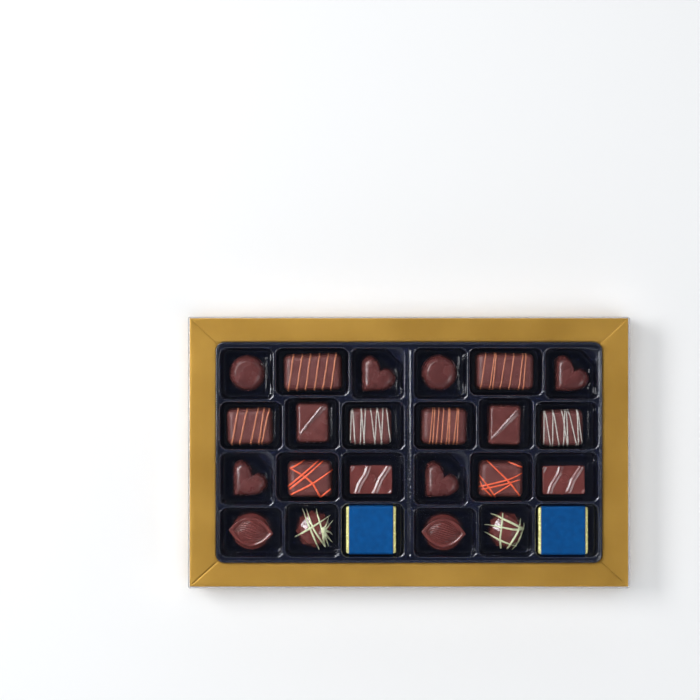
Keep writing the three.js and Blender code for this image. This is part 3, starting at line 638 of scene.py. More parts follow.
# %% Hearts
HEART_POINTS = [(1.8, 0.25), (8.5, 0.2), (15.8, 0.7), (20.2, 2.6), (23.1, 5.6), (23.9, 8.9), (23.1, 12),
                (21.1, 14.4), (18.4, 15.8), (16.2, 15.8), (14.4, 14.9), (13.6, 16.7), (12.8, 19.1),
                (11, 22.2), (8.6, 24.2), (5.8, 24.8), (3, 23.8), (1.2, 21.9), (0.4, 18.7), (0.2, 9.5),
                (0.3, 1.9), (0.75, 0.7)]
HEART_MIDDLE, HEART_CROWN = np.array([12.05, 12.5]), np.array([9, 9.7])
HEART_PROFILE = [(0.93, 0), (0.985, 0.15), (1, 0.9), (0.995, 3.6), (0.975, 6.4), (0.925, 8.9),
                 (0.84, 10.9), (0.71, 12.3), (0.55, 13), (0.4, 13.35)]


def closed_path(points, samples):
    """Soft closed line through the points, with even steps."""
    wrapped = points[-3:] + points + points[:3]
    fine = smooth_path(wrapped, 40 * len(wrapped))
    away = np.linalg.norm(fine - points[0], axis=1)
    third = len(fine) // 3
    start, end = np.argmin(away[:third]), 2 * third + np.argmin(away[2 * third:])
    return smooth_path(fine[start:end + 1:4], samples + 1)[:-1]


def scaled_rings(outline, profile, levels, crown, top_rings=12):
    """Rings that are scaled copies of one outline, closed over a slightly raised top."""
    rings = [at_height(outline * scale, height) for scale, height in smooth_path(profile, levels)]
    return close_top(rings, crown, top_rings)


def heart_rings(cell):
    """Rings of one heart about its crown, moved so that the heart's middle is at the origin."""
    outline = closed_path(HEART_POINTS, 140) - HEART_CROWN
    rings = scaled_rings(outline, HEART_PROFILE, 36, 0.15)
    rings[..., :2] += HEART_CROWN - HEART_MIDDLE
    return make_uneven(rings, cell["seed"], side=0.08, top=0.05)


build_kinds(["heart"], heart_rings, DARK_CHOCOLATE)

# %% [markdown]
# ## Blocks with two waves
# Two flat-topped waves slant over the block, two more just clip its corners, and a shallow curl
# sits between them. The real waves show as bright lines because of their low even slopes, so each
# is a straight ramp on both sides of its line. A rounded ridge would catch the light in one spot.

# %% Blocks with waves
WAVE_LENGTH, WAVE_WIDTH, WAVE_CORNER = 29.6, 20.4, 1.8
WAVE_PROFILE = [(0.9, 0), (0.2, 0.08), (0, 0.5), (0.12, 3.4), (0.3, 7), (0.42, 9.6), (0.52, 10.6),
                (0.76, 11.15), (1.3, 11.35)]
WAVE_ROUTES = [[(-1.6, 9.6), (-2.2, 7.7), (-3.5, 3.6), (-5.9, -0.2), (-7.9, -3.7), (-9.7, -9)],
               [(12.2, 9.2), (8.7, 3.8), (6.2, 0.1), (5, -3.1), (3.2, -7.4), (2, -9.4)],
               [(-12.4, 9.6), (-14, 6.6), (-18, 2)], [(17, -4), (15.4, -6.4), (13, -9.6)]]
WAVE_HEIGHT, WAVE_REACH, WAVE_FLANK = 0.68, 1.85, 1.5
CURL_PLACE, CURL_RADIUS, CURL_HEIGHT = (0.3, 0.9), 3.1, 0.2


def wave_rings(cell):
    """Rings of one block with its waves and the curl between them."""
    rings = make_uneven(pillow_rings(WAVE_LENGTH, WAVE_WIDTH, WAVE_CORNER, WAVE_PROFILE, 0.02,
                                     top_rings=90, fine=7), cell["seed"], side=0.05, top=0.02)
    lift = np.zeros(rings.shape[:-1])
    for route in WAVE_ROUTES:
        distance, _ = ridge_distance(rings, route)
        slope = np.clip((WAVE_REACH - np.abs(distance)) / WAVE_FLANK, 0, 1)
        lift = np.maximum(lift, WAVE_HEIGHT * slope)
    reach = np.hypot(rings[..., 0] - CURL_PLACE[0], rings[..., 1] - CURL_PLACE[1])
    ring_mask = 1 - smooth_step(np.abs(reach - CURL_RADIUS), 0.1, 0.8)
    curl = ring_mask + 0.8 * (1 - smooth_step(reach, 0.2, 1.3))
    rings[..., 2] += (lift + CURL_HEIGHT * curl * (lift < 0.02)) * top_mask(rings, 0.5)
    return rings


build_kinds(["wave"], wave_rings, MOULDED_CHOCOLATE)

# %% [markdown]
# ## Cocoa pods
# An oval foot carries a lens with two points. The lens has a raised band round it, and inside it
# ridges sweep from the upper left to the lower right and run together at both points. One loft
# goes from the oval to the lens as it rises. The ridges follow a formula, as drawing each of them
# as a line would never make them meet so evenly.

# %% Cocoa pods
POD_LENGTH, POD_WIDTH, LENS_LENGTH, LENS_WIDTH, LENS_POINT = 27.4, 26.4, 30.4, 20, 0.85
POD_GROOVE, POD_TOP, POD_BAND, POD_RIDGES, RIDGE_DEPTH = 9.6, 12.9, 0.765, 4.75, 0.95
# Each step says how much of the lens is in the outline, its scale and its height.
POD_STEPS = [(0, 0.9, 0), (0, 0.985, 0.12), (0, 1, 0.8), (0, 0.985, 2.8), (0, 0.955, 4.8),
             (0, 0.91, 6.6), (0.2, 0.88, 7.7), (0.6, 0.92, 8.4), (1, 0.985, 8.9), (1, 1, 9.6),
             (1, 0.985, 10.4), (1, 0.955, 10.85), (1, 0.925, 10.9), (1, 0.87, 10.62), (1, 0.81, 10.3),
             (1, 0.785, 9.9), (1, POD_BAND, POD_GROOVE)]


def pod_rings(cell):
    """Rings from the oval foot over the raised band to the domed and ridged middle."""
    angles = np.linspace(0, 2 * np.pi, 400, endpoint=False)
    cosine, sine = np.cos(angles), np.sin(angles)
    oval = np.column_stack([POD_LENGTH / 2 * cosine, POD_WIDTH / 2 * sine])
    lens = np.column_stack([LENS_LENGTH / 2 * cosine, LENS_WIDTH / 2 * sine * np.abs(sine) ** LENS_POINT])
    rings = [at_height((oval * (1 - blend) + lens * blend) * scale, height)
             for blend, scale, height in smooth_path(POD_STEPS, 66)]
    rings = close_top(rings, POD_TOP - POD_GROOVE, 90, power=0.8)
    rings = make_uneven(rings, cell["seed"], side=0.05, top=0.02)
    along = np.clip(rings[..., 0] / (POD_BAND * LENS_LENGTH / 2), -1, 1)
    half_width = POD_BAND * LENS_WIDTH / 2 * (1 - along ** 2) ** ((1 + LENS_POINT) / 2)
    across = rings[..., 1] / np.maximum(half_width, 0.25)
    mask = (1 - smooth_step(np.abs(across), 0.86, 0.98)) * (1 - smooth_step(np.abs(along), 0.93, 0.99))
    phase = (across * (1 - 0.4 * along ** 2) + 0.4 * along) * POD_RIDGES
    relief = RIDGE_DEPTH * np.abs(np.cos(np.pi * phase)) ** 0.65 - 0.8
    rings[..., 2] += relief * mask * (rings[..., 2] > POD_GROOVE - 0.1)
    return rings


build_kinds(["pod"], pod_rings, MOULDED_CHOCOLATE)

# %% [markdown]
# ## Round pralines
# A turned dome with one curl piped on its crown. Turning a profile with Screw would do for the
# dome, but scaled circles can be made uneven and take the curl in the same way as the hearts.

# %% Round pralines
ROUND_PROFILE = [(0.88, 0), (0.98, 0.15), (1, 1), (0.995, 4), (0.965, 7), (0.89, 10), (0.77, 12),
                 (0.6, 13.25), (0.42, 13.75)]
ROUND_RADIUS, PIPED_RADIUS, PIPED_HEIGHT, PIPED_REACH = 12.4, 7.7, 0.5, 1.1


def round_rings(cell):
    """Rings of one dome with its curl."""
    angles = np.linspace(0, 2 * np.pi, 120, endpoint=False)
    outline = ROUND_RADIUS * np.column_stack([np.cos(angles), np.sin(angles)])
    rings = make_uneven(scaled_rings(outline, ROUND_PROFILE, 40, 0.2, 24), cell["seed"],
                        side=0.12, top=0.06)
    turn = np.radians(np.linspace(20, 200, 9))
    route = [(PIPED_RADIUS * math.cos(a), PIPED_RADIUS * math.sin(a)) for a in turn]
    distance, share = ridge_distance(rings, route)
    ends = smooth_step(share, 0, 0.12) * (1 - smooth_step(share, 0.88, 1))
    curl = PIPED_HEIGHT * (1 - smooth_step(np.abs(distance), 0.1, PIPED_REACH)) * ends
    rings[..., 2] += curl * (rings[..., 2] > 8)
    return rings


build_kinds(["round"], round_rings, DARK_CHOCOLATE)

# %% [markdown]
# ## Faceted gems
# The gem is the one praline with flat faces, so no soft rings here. Its corners come from rings of
# eight that are turned against each other. A convex hull finds the facets between them, which
# saves listing every face, and a small bevel softens the moulded edges so that they catch light.

# %% Faceted gems
GEM_LENGTH, GEM_WIDTH, GEM_SIDES, GEM_BEVEL, GEM_TURN = 24.4, 26, 8, 0.28, 0.12
# Each ring of corners has its scale, its height and its turn in half sides.
GEM_RINGS = [(0.92, 0, 0), (1, 1.2, 0), (0.99, 5.6, 0), (0.77, 10.7, 1), (0.35, 13.2, 2), (0, 13.7, 0)]


def gem_points(cell):
    """Corners of one gem in its place."""
    points = []
    for scale, height, turns in GEM_RINGS:
        corners = np.arange(GEM_SIDES if scale else 1)
        angles = (corners + 0.5 * turns + GEM_TURN) * 2 * np.pi / GEM_SIDES
        ring = np.column_stack([GEM_LENGTH / 2 * np.cos(angles), GEM_WIDTH / 2 * np.sin(angles)])
        points.append(at_height(ring * scale, height))
    return place_in_cell(np.vstack(points), cell)


def build_gem(cell):
    """Flat-faced piece round the corners, with its edges bevelled."""
    mesh = bmesh.new()
    for point in gem_points(cell) * MM:
        mesh.verts.new(point)
    bmesh.ops.convex_hull(mesh, input=mesh.verts[:])
    bmesh.ops.dissolve_limit(mesh, angle_limit=math.radians(1), verts=mesh.verts[:], edges=mesh.edges[:])
    bmesh.ops.bevel(mesh, geom=mesh.edges[:], offset=GEM_BEVEL * MM, segments=2, profile=0.5,
                    affect="EDGES")
    bmesh.ops.recalc_face_normals(mesh, faces=mesh.faces[:])
    data = bpy.data.meshes.new("praline_" + cell["name"])
    mesh.to_mesh(data)
    mesh.free()
    return dress(add_object("praline_" + cell["name"], data), MOULDED_CHOCOLATE, [cell["name"]])


for cell in CELLS:
    if cell["kind"] == "gem":
        bodies[cell["name"]] = build_gem(cell)
print("pralines without wrapping:", len(bodies))

# %% [markdown]
# ## Foil squares
# The wrapped square is a flat prism in crinkled foil, most of which hides under its band. Cloth
# would crinkle it too, but only the narrow ends show, and there two soft noises are enough.

# %% Foil squares
FOIL_LENGTH, FOIL_WIDTH, FOIL_HEIGHT, FOIL_CORNER = 33.8, 31.8, 8, 1.5
BAND_LENGTH, BAND_SHEET, BAND_GAP, BAND_CORNER = 29.7, 0.25, 0.3, 1.6
# Each row has a distance from the end, and how far the sides and the top are drawn in there.
FOIL_ENDS = [(3.2, 0, 0), (1.2, 0.05, 0.05), (0.5, 0.25, 0.3), (0.12, 0.7, 0.8)]


def crosswise_ring(x, width, height, corner, bottom):
    """Rounded section across X, whose points run so that a stack along +X faces outwards."""
    outline = rounded_outline(width, height, corner, arc=7, along=26, across=6)
    return np.column_stack([np.full(len(outline), x), outline[:, 0], outline[:, 1] + bottom + height / 2])


def foil_rings(cell):
    """Sections of one wrapped square from end to end, with crinkles where the foil shows."""
    lift, half = BAND_GAP + BAND_SHEET, FOIL_LENGTH / 2
    stations = [(half - inset, side, top) for inset, side, top in FOIL_ENDS]
    run = [(-x, side, top) for x, side, top in reversed(stations)]
    run += [(x, 0, 0) for x in np.linspace(-half + 4, half - 4, 12)] + stations
    rings = np.array([crosswise_ring(x, FOIL_WIDTH - 2 * side, FOIL_HEIGHT - 2 * top, FOIL_CORNER,
                                     lift + top) for x, side, top in smooth_path(run, 66)])
    ends = smooth_step(np.abs(rings[..., 0]), BAND_LENGTH / 2 - 0.6, half - 0.6)
    crinkle = soft_noise(rings, 1.6, cell["seed"]) + 0.7 * soft_noise(rings, 4.2, cell["seed"] + 1)
    rings[..., 2] -= (0.1 + 0.09 * crinkle) * ends * (rings[..., 2] > FOIL_HEIGHT / 2)
    rings[..., 1] -= np.sign(rings[..., 1]) * (0.12 + 0.1 * crinkle) * ends
    rings[..., 0] -= np.sign(rings[..., 0]) * (0.2 + 0.2 * crinkle) * (ends > 0.9)
    return rings


foil_start = foil_rings(CELLS[11])[0]
print("points round a foil square:", len(foil_start))

# %% [markdown]
# ## Paper bands
# An open band of blue paper is wound round the middle of each square, and it stays bare. The band
# is a tube with a wall, not a solid block, because its cut edges are seen against the foil. It is
# a closed stack of sections: along the outside one way and back along the inside.

# %% Paper bands
def band_skin(gap, bottom):
    """Sections of one skin of the band at a gap from the foil."""
    return np.array([crosswise_ring(x, FOIL_WIDTH + 2 * gap, FOIL_HEIGHT + 2 * gap, BAND_CORNER + gap,
                                    bottom) for x in np.linspace(-BAND_LENGTH / 2, BAND_LENGTH / 2, 40)])


def band_piece(cell):
    """Open band of paper: the outer skin from end to end and the inner skin back again."""
    outer, inner = band_skin(BAND_GAP + BAND_SHEET, 0), band_skin(BAND_GAP, BAND_SHEET)
    slack = 0.05 * soft_noise(outer, 14, cell["seed"] + 5) - 0.06
    for skin in (outer, inner):
        skin[..., 2] += slack * (skin[..., 2] > 5)
    levels = np.concatenate([outer, inner[::-1]])
    points = place_in_cell(levels, cell).reshape(-1, 3)
    faces = ring_faces(len(levels), levels.shape[1], closed_levels=True)
    name = "paper_band_" + cell["side"]
    return dress(make_object("wound_" + name, points, faces), BLUE_PAPER, [name])


for cell in CELLS:
    if cell["kind"] == "foil":
        points, faces = closed_loft(place_in_cell(foil_rings(cell), cell))
        name = "foil_square_" + cell["side"]
        dress(make_object("wrapped_" + name, points, faces), GOLD_FOIL, [name])
        band = band_piece(cell)
        print(name, "with", band.name)

# %% [markdown]
# ## Moulded insert
# The insert is one thin sheet drawn into 24 cells. Cutting 24 pockets with Boolean would leave sharp
# edges and bad faces, so its skin is built in parts that share their edge points: the rim loop, a
# flat land with holes, and one loft for each cell with a rounded lip, drafted walls, a fillet and a
# floor. Solidify then gives the sheet its thickness downwards. The lips are where the plastic is
# seen best, so a cell starts with seven rings there.

# %% Cell lofts
LAND, RIM_TOP, SHEET = 26, 27.2, 0.45
INSERT_LENGTH, INSERT_WIDTH, INSERT_CORNER = 259, 148, 6
FOIL_WALL_CORNER, WALL_CORNER, WALL_DRAFT, FLOOR_FILLET = 3.7, 4.8, 0.9, 1.3
WEB_HEIGHT, WEB_REACH = 23, 11
# Each row of a lip has how far it is set in, how far it lies below the land, and its corner.
LIP_STEPS = [(-0.75, 0, 3), (-0.62, 0.01, 3), (-0.45, 0.1, 3.35), (-0.3, 0.22, 3.75),
             (-0.15, 0.38, 4.15), (-0.02, 0.6, 4.5), (0.06, 0.9, 4.7)]
# The web of a heart's cell starts with two round rings and goes on with three cut ones.
WEB_STEPS = [(0.16, 0.35, False), (0.3, 0.05, False), (0.36, 0, True), (0.5, -0.1, True),
             (0.6, -0.5, True)]
# Each row of a floor has its scale and how far it lies above the cell's floor.
FLOOR_STEPS = [(0.86, 0), (0.84, 0.35), (0.5, 0.35), (0.12, 0.35)]


def cell_outline(cell, set_in, height, webbed=False, corner=None):
    """Ring of a cell at one height. A webbed one has the back right corner of its cell cut off."""
    length, width = cell["size"]
    if corner is None:
        corner = (FOIL_WALL_CORNER if cell["kind"] == "foil" else WALL_CORNER) - set_in
    outline = rounded_outline(length - 2 * set_in, width - 2 * set_in, corner, arc=9, along=9, across=8)
    if webbed:
        over = (outline[:, 0] - length / 2) + (outline[:, 1] - width / 2) + WEB_REACH + 1.4 * set_in
        outline = outline - np.clip(over, 0, None)[:, None] / 2
    return at_height(outline + cell["centre"], height)


def cell_rings(cell):
    """Rings of one cell from the land down its wall to the middle of its floor."""
    floor, webbed = cell["floor"], cell["kind"] == "heart"
    rings = [cell_outline(cell, set_in, LAND - drop, corner=corner) for set_in, drop, corner in LIP_STEPS]
    if webbed:
        rings += [cell_outline(cell, set_in, WEB_HEIGHT + rise, cut) for set_in, rise, cut in WEB_STEPS]
    for share in (0.35, 0.65, 0.9):
        height = LAND - (LAND - floor - FLOOR_FILLET) * share
        if not webbed or height < WEB_HEIGHT - 1:
            rings.append(cell_outline(cell, WALL_DRAFT * share + 0.08, height, webbed))
    for angle in np.linspace(0, math.pi / 2, 5):
        rings.append(cell_outline(cell, WALL_DRAFT + 0.05 + FLOOR_FILLET * (1 - math.cos(angle)),
                                  floor + FLOOR_FILLET * (1 - math.sin(angle)), webbed))
    edge, middle = rings[-1], np.append(cell["centre"], floor)
    for share, rise in FLOOR_STEPS:
        ring = middle + (edge - middle) * [share, share, 1]
        ring[:, 2] = floor + rise
        rings.append(ring)
    return rings


print("rings in a heart's cell:", len(cell_rings(CELLS[2])))

# %% [markdown]
# ## Parts of the insert's skin
# Between the halves the plastic has a rough little groove, and round it all runs a raised rim with
# a skirt. Every part hands back its points, its faces and the loop of points where it meets the
# land, so that the parts can be joined without a search for double points.

# %% Cells, groove and rim
GROOVE_REACH, GROOVE_ROWS, GROOVE_ROUGHNESS, GROOVE_SEED = 70.9, 200, 0.16, 8
# Both profiles have [across or set in, height] pairs. The groove's heights start from the land.
GROOVE_PROFILE = [(-1.5, 0), (-1.1, -0.08), (-0.6, -0.5), (0, -0.85), (0.6, -0.5), (1.1, -0.08), (1.5, 0)]
RIM_PROFILE = [(0, 1.2), (0, 20), (0, 26.4), (0.12, 26.85), (0.4, 27.12), (0.7, RIM_TOP), (1.0, 27.12),
               (1.25, 26.85), (1.42, 26.4), (1.55, 26.12), (1.8, LAND), (2.1, LAND)]


def cell_skin(cell):
    """One cell, whose quads run inwards and down, so that they face up into it."""
    rings = cell_rings(cell)
    levels, count = len(rings), len(rings[0])
    points = np.vstack([*rings, rings[-1].mean(0)])
    faces = []
    for outer in range(0, (levels - 1) * count, count):
        for i in range(count):
            ahead = (i + 1) % count
            faces.append((outer + i, outer + ahead, outer + count + ahead, outer + count + i))
    last, centre = (levels - 1) * count, levels * count
    faces += [(centre, last + i, last + (i + 1) % count) for i in range(count)]
    return points, faces, list(range(count))


def groove_skin():
    """The rough groove between the halves, as a grid with a border that lies in the land."""
    rough = np.random.default_rng(GROOVE_SEED).uniform(
        -GROOVE_ROUGHNESS, GROOVE_ROUGHNESS, (GROOVE_ROWS, len(GROOVE_PROFILE)))
    wide = len(GROOVE_PROFILE)
    points = []
    for row, y in enumerate(np.linspace(-GROOVE_REACH, GROOVE_REACH, GROOVE_ROWS)):
        end = smooth_step(min(row, GROOVE_ROWS - 1 - row), 0, 4)
        for k, (x, z) in enumerate(GROOVE_PROFILE):
            shift = rough[row, k] * (0 < k < wide - 1)
            points.append((x + 0.6 * shift, y, LAND + (z + shift) * end))
    grid = np.arange(GROOVE_ROWS * wide).reshape(GROOVE_ROWS, wide)
    faces = [(a, a + 1, a + wide + 1, a + wide) for a in grid[:-1, :-1].ravel().tolist()]
    loop = np.concatenate([grid[0, :-1], grid[:-1, -1], grid[-1, :0:-1], grid[:0:-1, 0]])
    return np.array(points), faces, loop.tolist()


def rim_skin():
    """The skirt and the raised rim, from the hem over the round top down to the land."""
    rings = [at_height(rounded_outline(INSERT_LENGTH - 2 * set_in, INSERT_WIDTH - 2 * set_in,
                                       INSERT_CORNER - set_in, arc=12, along=60, across=34), height)
             for set_in, height in RIM_PROFILE]
    count = len(rings[0])
    last = (len(rings) - 1) * count
    return np.vstack(rings), ring_faces(len(rings), count), list(range(last, last + count))


groove = groove_skin()
print("groove points:", len(groove[0]), "of them in the land:", len(groove[2]))

# %% [markdown]
# ## Land between the cells
# The land is the flat plastic that is left between the cells. A grid would not meet the round lips.
# A Delaunay triangulation of the loops adds no points of its own, so nothing can gape. It also
# fills the cells and the corners outside the rim, and those triangles are left out again.

# %% Land between the rim and the holes
def in_loop(point, loop):
    """Whether a point lies inside a closed flat loop."""
    x, y = point
    x0, y0 = loop[:, 0], loop[:, 1]
    x1, y1 = np.roll(x0, -1), np.roll(y0, -1)
    crosses = (y0 > y) != (y1 > y)
    at = x0 + (y - y0) / np.where(y1 == y0, 1e-9, y1 - y0) * (x1 - x0)
    return np.count_nonzero(crosses & (x < at)) % 2 == 1


def fill_land(points, border, holes):
    """Triangles of the flat land between the rim and the holes, on the points that are there."""
    used = border + [i for hole in holes for i in hole]
    number = {vertex: k for k, vertex in enumerate(used)}
    edges = []
    for loop in [border] + holes:
        edges += [(number[a], number[b]) for a, b in zip(loop, loop[1:] + loop[:1])]
    made, _, triangles, origins, _, _ = delaunay_2d_cdt([Vector(points[i][:2]) for i in used],
                                                        edges, [], 0, 1e-5)
    assert len(made) == len(used), "the land needed a point that isn't there"
    back = [used[origin[0]] if origin else None for origin in origins]
    inside_rim = points[border][:, :2]
    flat_holes = [points[hole][:, :2] for hole in holes]
    boxes = [(loop.min(0), loop.max(0), loop) for loop in flat_holes]
    kept = []
    for triangle in triangles:
        middle = np.mean([made[i] for i in triangle], axis=0)
        in_hole = any((low <= middle).all() and (middle <= high).all() and in_loop(middle, loop)
                      for low, high, loop in boxes)
        if in_loop(middle, inside_rim) and not in_hole:
            kept.append(tuple(back[i] for i in triangle))
    return kept


corners = np.array([(x, y, 0) for x, y in ((0, 0), (3, 0), (3, 3), (0, 3), (1, 1), (2, 1), (2, 2), (1, 2))])
print("triangles of a square with a square hole:", len(fill_land(corners, [0, 1, 2, 3], [[4, 5, 6, 7]])))

# %% [markdown]
# ## The whole sheet
# The parts are joined with their numbers shifted, and the land is filled in last. Solidify is used
# for the thickness because it moves every point along its normal, as a drawn sheet does nearly.

# %% Insert with its sheet thickness
def insert_skin():
    """Points and faces of the whole upper skin. The rim is the last part, and the land's border."""
    points, faces, loops, first = [], [], [], 0
    for part_points, part_faces, loop in [*map(cell_skin, CELLS), groove, rim_skin()]:
        points.append(part_points)
        faces += [tuple(first + i for i in face) for face in part_faces]
        loops.append([first + i for i in loop])
        first += len(part_points)
    points = np.vstack(points)
    return points, faces + fill_land(points, loops[-1], loops[:-1])


def build_insert():
    """The skin with its sheet thickness, which Solidify adds below it."""
    piece = make_object("drawn_insert", *insert_skin())
    sheet = piece.modifiers.new("sheet", "SOLIDIFY")
    sheet.thickness, sheet.offset, sheet.use_rim = SHEET * MM, -1, True
    bake_modifiers(piece)
    return dress(piece, DARK_PLASTIC, ["moulded_insert"])


insert = build_insert()
print("insert faces:", len(insert.data.polygons))

# %% [markdown]
# ## Gold card base
# The base is folded card: four walls, a bottom, and four flaps that fold in and slope down to the
# insert. A box with a Boolean hole would have no folds and no mitres. Each side is one closed
# strip whose section is swept along the side, as the card itself runs. The opening is rounded, so
# the stations follow it closely near the corners and widely between them.

# %% Stations along the sides
BASE_LENGTH, BASE_WIDTH, BASE_HEIGHT, CARD = 294, 180, 26, 0.8
FRAME_DROP, FOLD, FIT = 0.9, 0.9, 0.35
END_STEPS, MIDDLE_START, MIDDLE_STEPS = [0, 0.8, 1.6, 2.4, 3.2, 4, 4.8, 6, 9, 14, 20], 28, 24
CORNER_SIGNS = np.array([(1, 1), (-1, 1), (-1, -1), (1, -1)])


def frame_sides():
    """Outer points, opening points and direction of each of the four sides."""
    opening = rounded_outline(INSERT_LENGTH + 2 * FIT, INSERT_WIDTH + 2 * FIT, INSERT_CORNER,
                              arc=12, along=40, across=30)
    half_opening = np.array([INSERT_LENGTH / 2 + FIT, INSERT_WIDTH / 2 + FIT])
    turns = (half_opening - INSERT_CORNER * (1 - math.sqrt(0.5))) * CORNER_SIGNS
    corners = [int(np.argmin(np.hypot(*(opening - turn).T))) for turn in turns]
    outer_corners = CORNER_SIGNS * [BASE_LENGTH / 2, BASE_WIDTH / 2]
    near = np.array(END_STEPS)
    sides = []
    for k in range(4):
        start, end = corners[k], corners[(k + 1) % 4]
        steps = (end - start) % len(opening) + 1
        run = opening[(start + np.arange(steps)) % len(opening)]
        along = np.r_[0, np.cumsum(np.linalg.norm(np.diff(run, axis=0), axis=1))]
        middle = np.linspace(MIDDLE_START, along[-1] - MIDDLE_START, MIDDLE_STEPS)
        wanted = np.concatenate([near, middle, along[-1] - near[::-1]])
        inner = np.column_stack([np.interp(wanted, along, run[:, c]) for c in range(2)])
        a, b = outer_corners[k], outer_corners[(k + 1) % 4]
        direction = (b - a) / np.linalg.norm(b - a)
        share = np.clip(((inner - inner[0]) @ direction) / ((inner[-1] - inner[0]) @ direction), 0, 1)
        sides.append((a + (b - a) * share[:, None], inner, direction))
    return sides


SIDES = frame_sides()
print("stations along each side:", [len(inner) for _, inner, _ in SIDES])

# %% [markdown]
# ## Section of the card
# Cut across, a side is a wall, a soft fold and a flap that slopes down to the insert, and then the
# same card back on its underside. Every station has this one section between its outer point and
# its point on the opening, which keeps the wall straight while the flap follows the round corner.

# %% Section of the card
# A section point has its share of the way to the opening, its distance in from there and its height.
WALL_FOOT, SKIN_EASE, EDGE_DROP = 0.02, 0.02, 0.12
FLAP_SHARES = [0.12, 0.3, 0.5, 0.7, 0.88, 0.985, 1.0]
FOLD_ANGLES = np.linspace(0, math.pi / 2, 8)[1:]


def card_section():
    """Closed section of one side, and which of its points make the top of the flap."""
    top = BASE_HEIGHT - SKIN_EASE
    section = [(0, 0, WALL_FOOT), (0, 0, BASE_HEIGHT - FOLD)]
    section += [(0, FOLD * (1 - math.cos(angle)), top - FOLD * (1 - math.sin(angle)))
                for angle in FOLD_ANGLES]
    flap = slice(len(section), len(section) + len(FLAP_SHARES))
    section += [(share, FOLD * (1 - share), top - FRAME_DROP * share - EDGE_DROP * (share == 1))
                for share in FLAP_SHARES]
    under = BASE_HEIGHT - CARD
    section += [(1, 0, under - FRAME_DROP), (0.5, CARD, under - FRAME_DROP / 2 - 0.05),
                (0, CARD + 0.6, under - 0.1), (0, CARD, under - 0.7), (0, CARD, WALL_FOOT)]
    return section, flap


SECTION, FLAP = card_section()
print("points in the card's section:", len(SECTION))

# %% [markdown]
# ## Strips with their slits
# Two flaps meet in a mitre with a narrow slit, and one corner stands open a little more. The last
# stations are shifted onto the line of the mitre, less and less over a few millimetres. Near its
# end a flap bends down a little, so that the slit shows as a dark line.

# %% Strips with their slits
SLIT, OPEN_SLIT, SLIT_STOP, BUTT_GAP, END_DROP, END_WINDOW = 0.1, 0.42, 2.4, 0.02, 0.22, 6
SLITS = [(SLIT, SLIT), (SLIT, OPEN_SLIT), (OPEN_SLIT, SLIT), (SLIT, SLIT)]


def side_strip(outer, inner, direction, slits):
    """Sections along one side, shifted near both ends onto the mitre with its slit."""
    inward = np.array([-direction[1], direction[0]])
    stations = np.array([[(*(a * (1 - share) + b * share + inward * set_in), height)
                          for share, set_in, height in SECTION] for a, b in zip(outer, inner)])
    for end, sign, slit in ((0, 1, slits[0]), (len(outer) - 1, -1, slits[1])):
        corner, ahead = outer[end], direction * sign
        to_inner = inner[end] - corner
        lean = (to_inner @ ahead) / (to_inner @ inward)
        for k in range(len(SECTION)):
            along = (stations[:, k, :2] - corner) @ ahead
            inset = (stations[end, k, :2] - corner) @ inward
            wanted = inset * lean + (slit if inset > SLIT_STOP else BUTT_GAP)
            near = np.clip(1 - (along - along[end]) / END_WINDOW, 0, 1)
            stations[:, k, :2] += ((wanted - along[end]) * near)[:, None] * ahead
        stations[end, FLAP, 2] -= END_DROP
    return stations


front_strip = side_strip(*SIDES[2], SLITS[2])
print("stations and points of the front strip:", front_strip.shape[:2])

# %% [markdown]
# ## Base in one piece
# The strips and the bottom panel are loose shells in one mesh, since the card is one sheet. Their
# normals are recalculated, because the strips run round the box in one turning direction, and the
# folds are marked sharp by their angle so that flat card shades flat.

# %% Base in one piece
def strip_faces(count, wide, first):
    """Quads of a closed strip from its first point on, with a cap at each end."""
    faces = []
    for low in range(first, first + (count - 1) * wide, wide):
        for k in range(wide):
            ahead = (k + 1) % wide
            faces.append((low + k, low + wide + k, low + wide + ahead, low + ahead))
    faces.append(tuple(range(first, first + wide)))
    faces.append(tuple(reversed(range(first + (count - 1) * wide, first + count * wide))))
    return faces


def build_base():
    """Four strips and a bottom panel in one piece with sharp folds."""
    points, faces = [], []
    for (outer, inner, direction), slits in zip(SIDES, SLITS):
        stations = side_strip(outer, inner, direction, slits)
        faces += strip_faces(*stations.shape[:2], len(points))
        points += stations.reshape(-1, 3).tolist()
    inside = 2 * CARD + 0.1
    panel = rounded_outline(BASE_LENGTH - inside, BASE_WIDTH - inside, 0.5)
    panel_points, panel_faces = closed_loft([at_height(panel, 0), at_height(panel, CARD)])
    faces += [tuple(len(points) + i for i in face) for face in panel_faces]
    piece = make_object("folded_card_base", points + panel_points.tolist(), faces)
    mesh = bmesh.new()
    mesh.from_mesh(piece.data)
    bmesh.ops.recalc_face_normals(mesh, faces=mesh.faces[:])
    mesh.to_mesh(piece.data)
    mesh.free()
    piece.data.set_sharp_from_angle(angle=math.radians(20))
    return dress(piece, GOLD_CARD, ["card_base"])


base = build_base()
print("base faces:", len(base.data.polygons))

# %% [markdown]
# ## Clear lid
# The lid is a folded sheet of clear film with a soft fold all round. Its top sags by a few hundredths
# of a millimetre, as stretched film does. Both skins are made, because the sheet has a thickness
# that shows at its hem and its fold: the outer one goes up the skirt and over the top, and the inner
# one comes back down one sheet thickness inside it.

# %% Clear lid
LID_LENGTH, LID_WIDTH, LID_TOP, LID_BOTTOM, LID_SHEET, LID_CORNER = 295.5, 181.5, 30, 7, 0.4, 1.2
OUTER_FOLD, INNER_FOLD, SAG, SAG_WAVE, SAG_SEED = 0.9, 0.5, 0.06, 120, 3


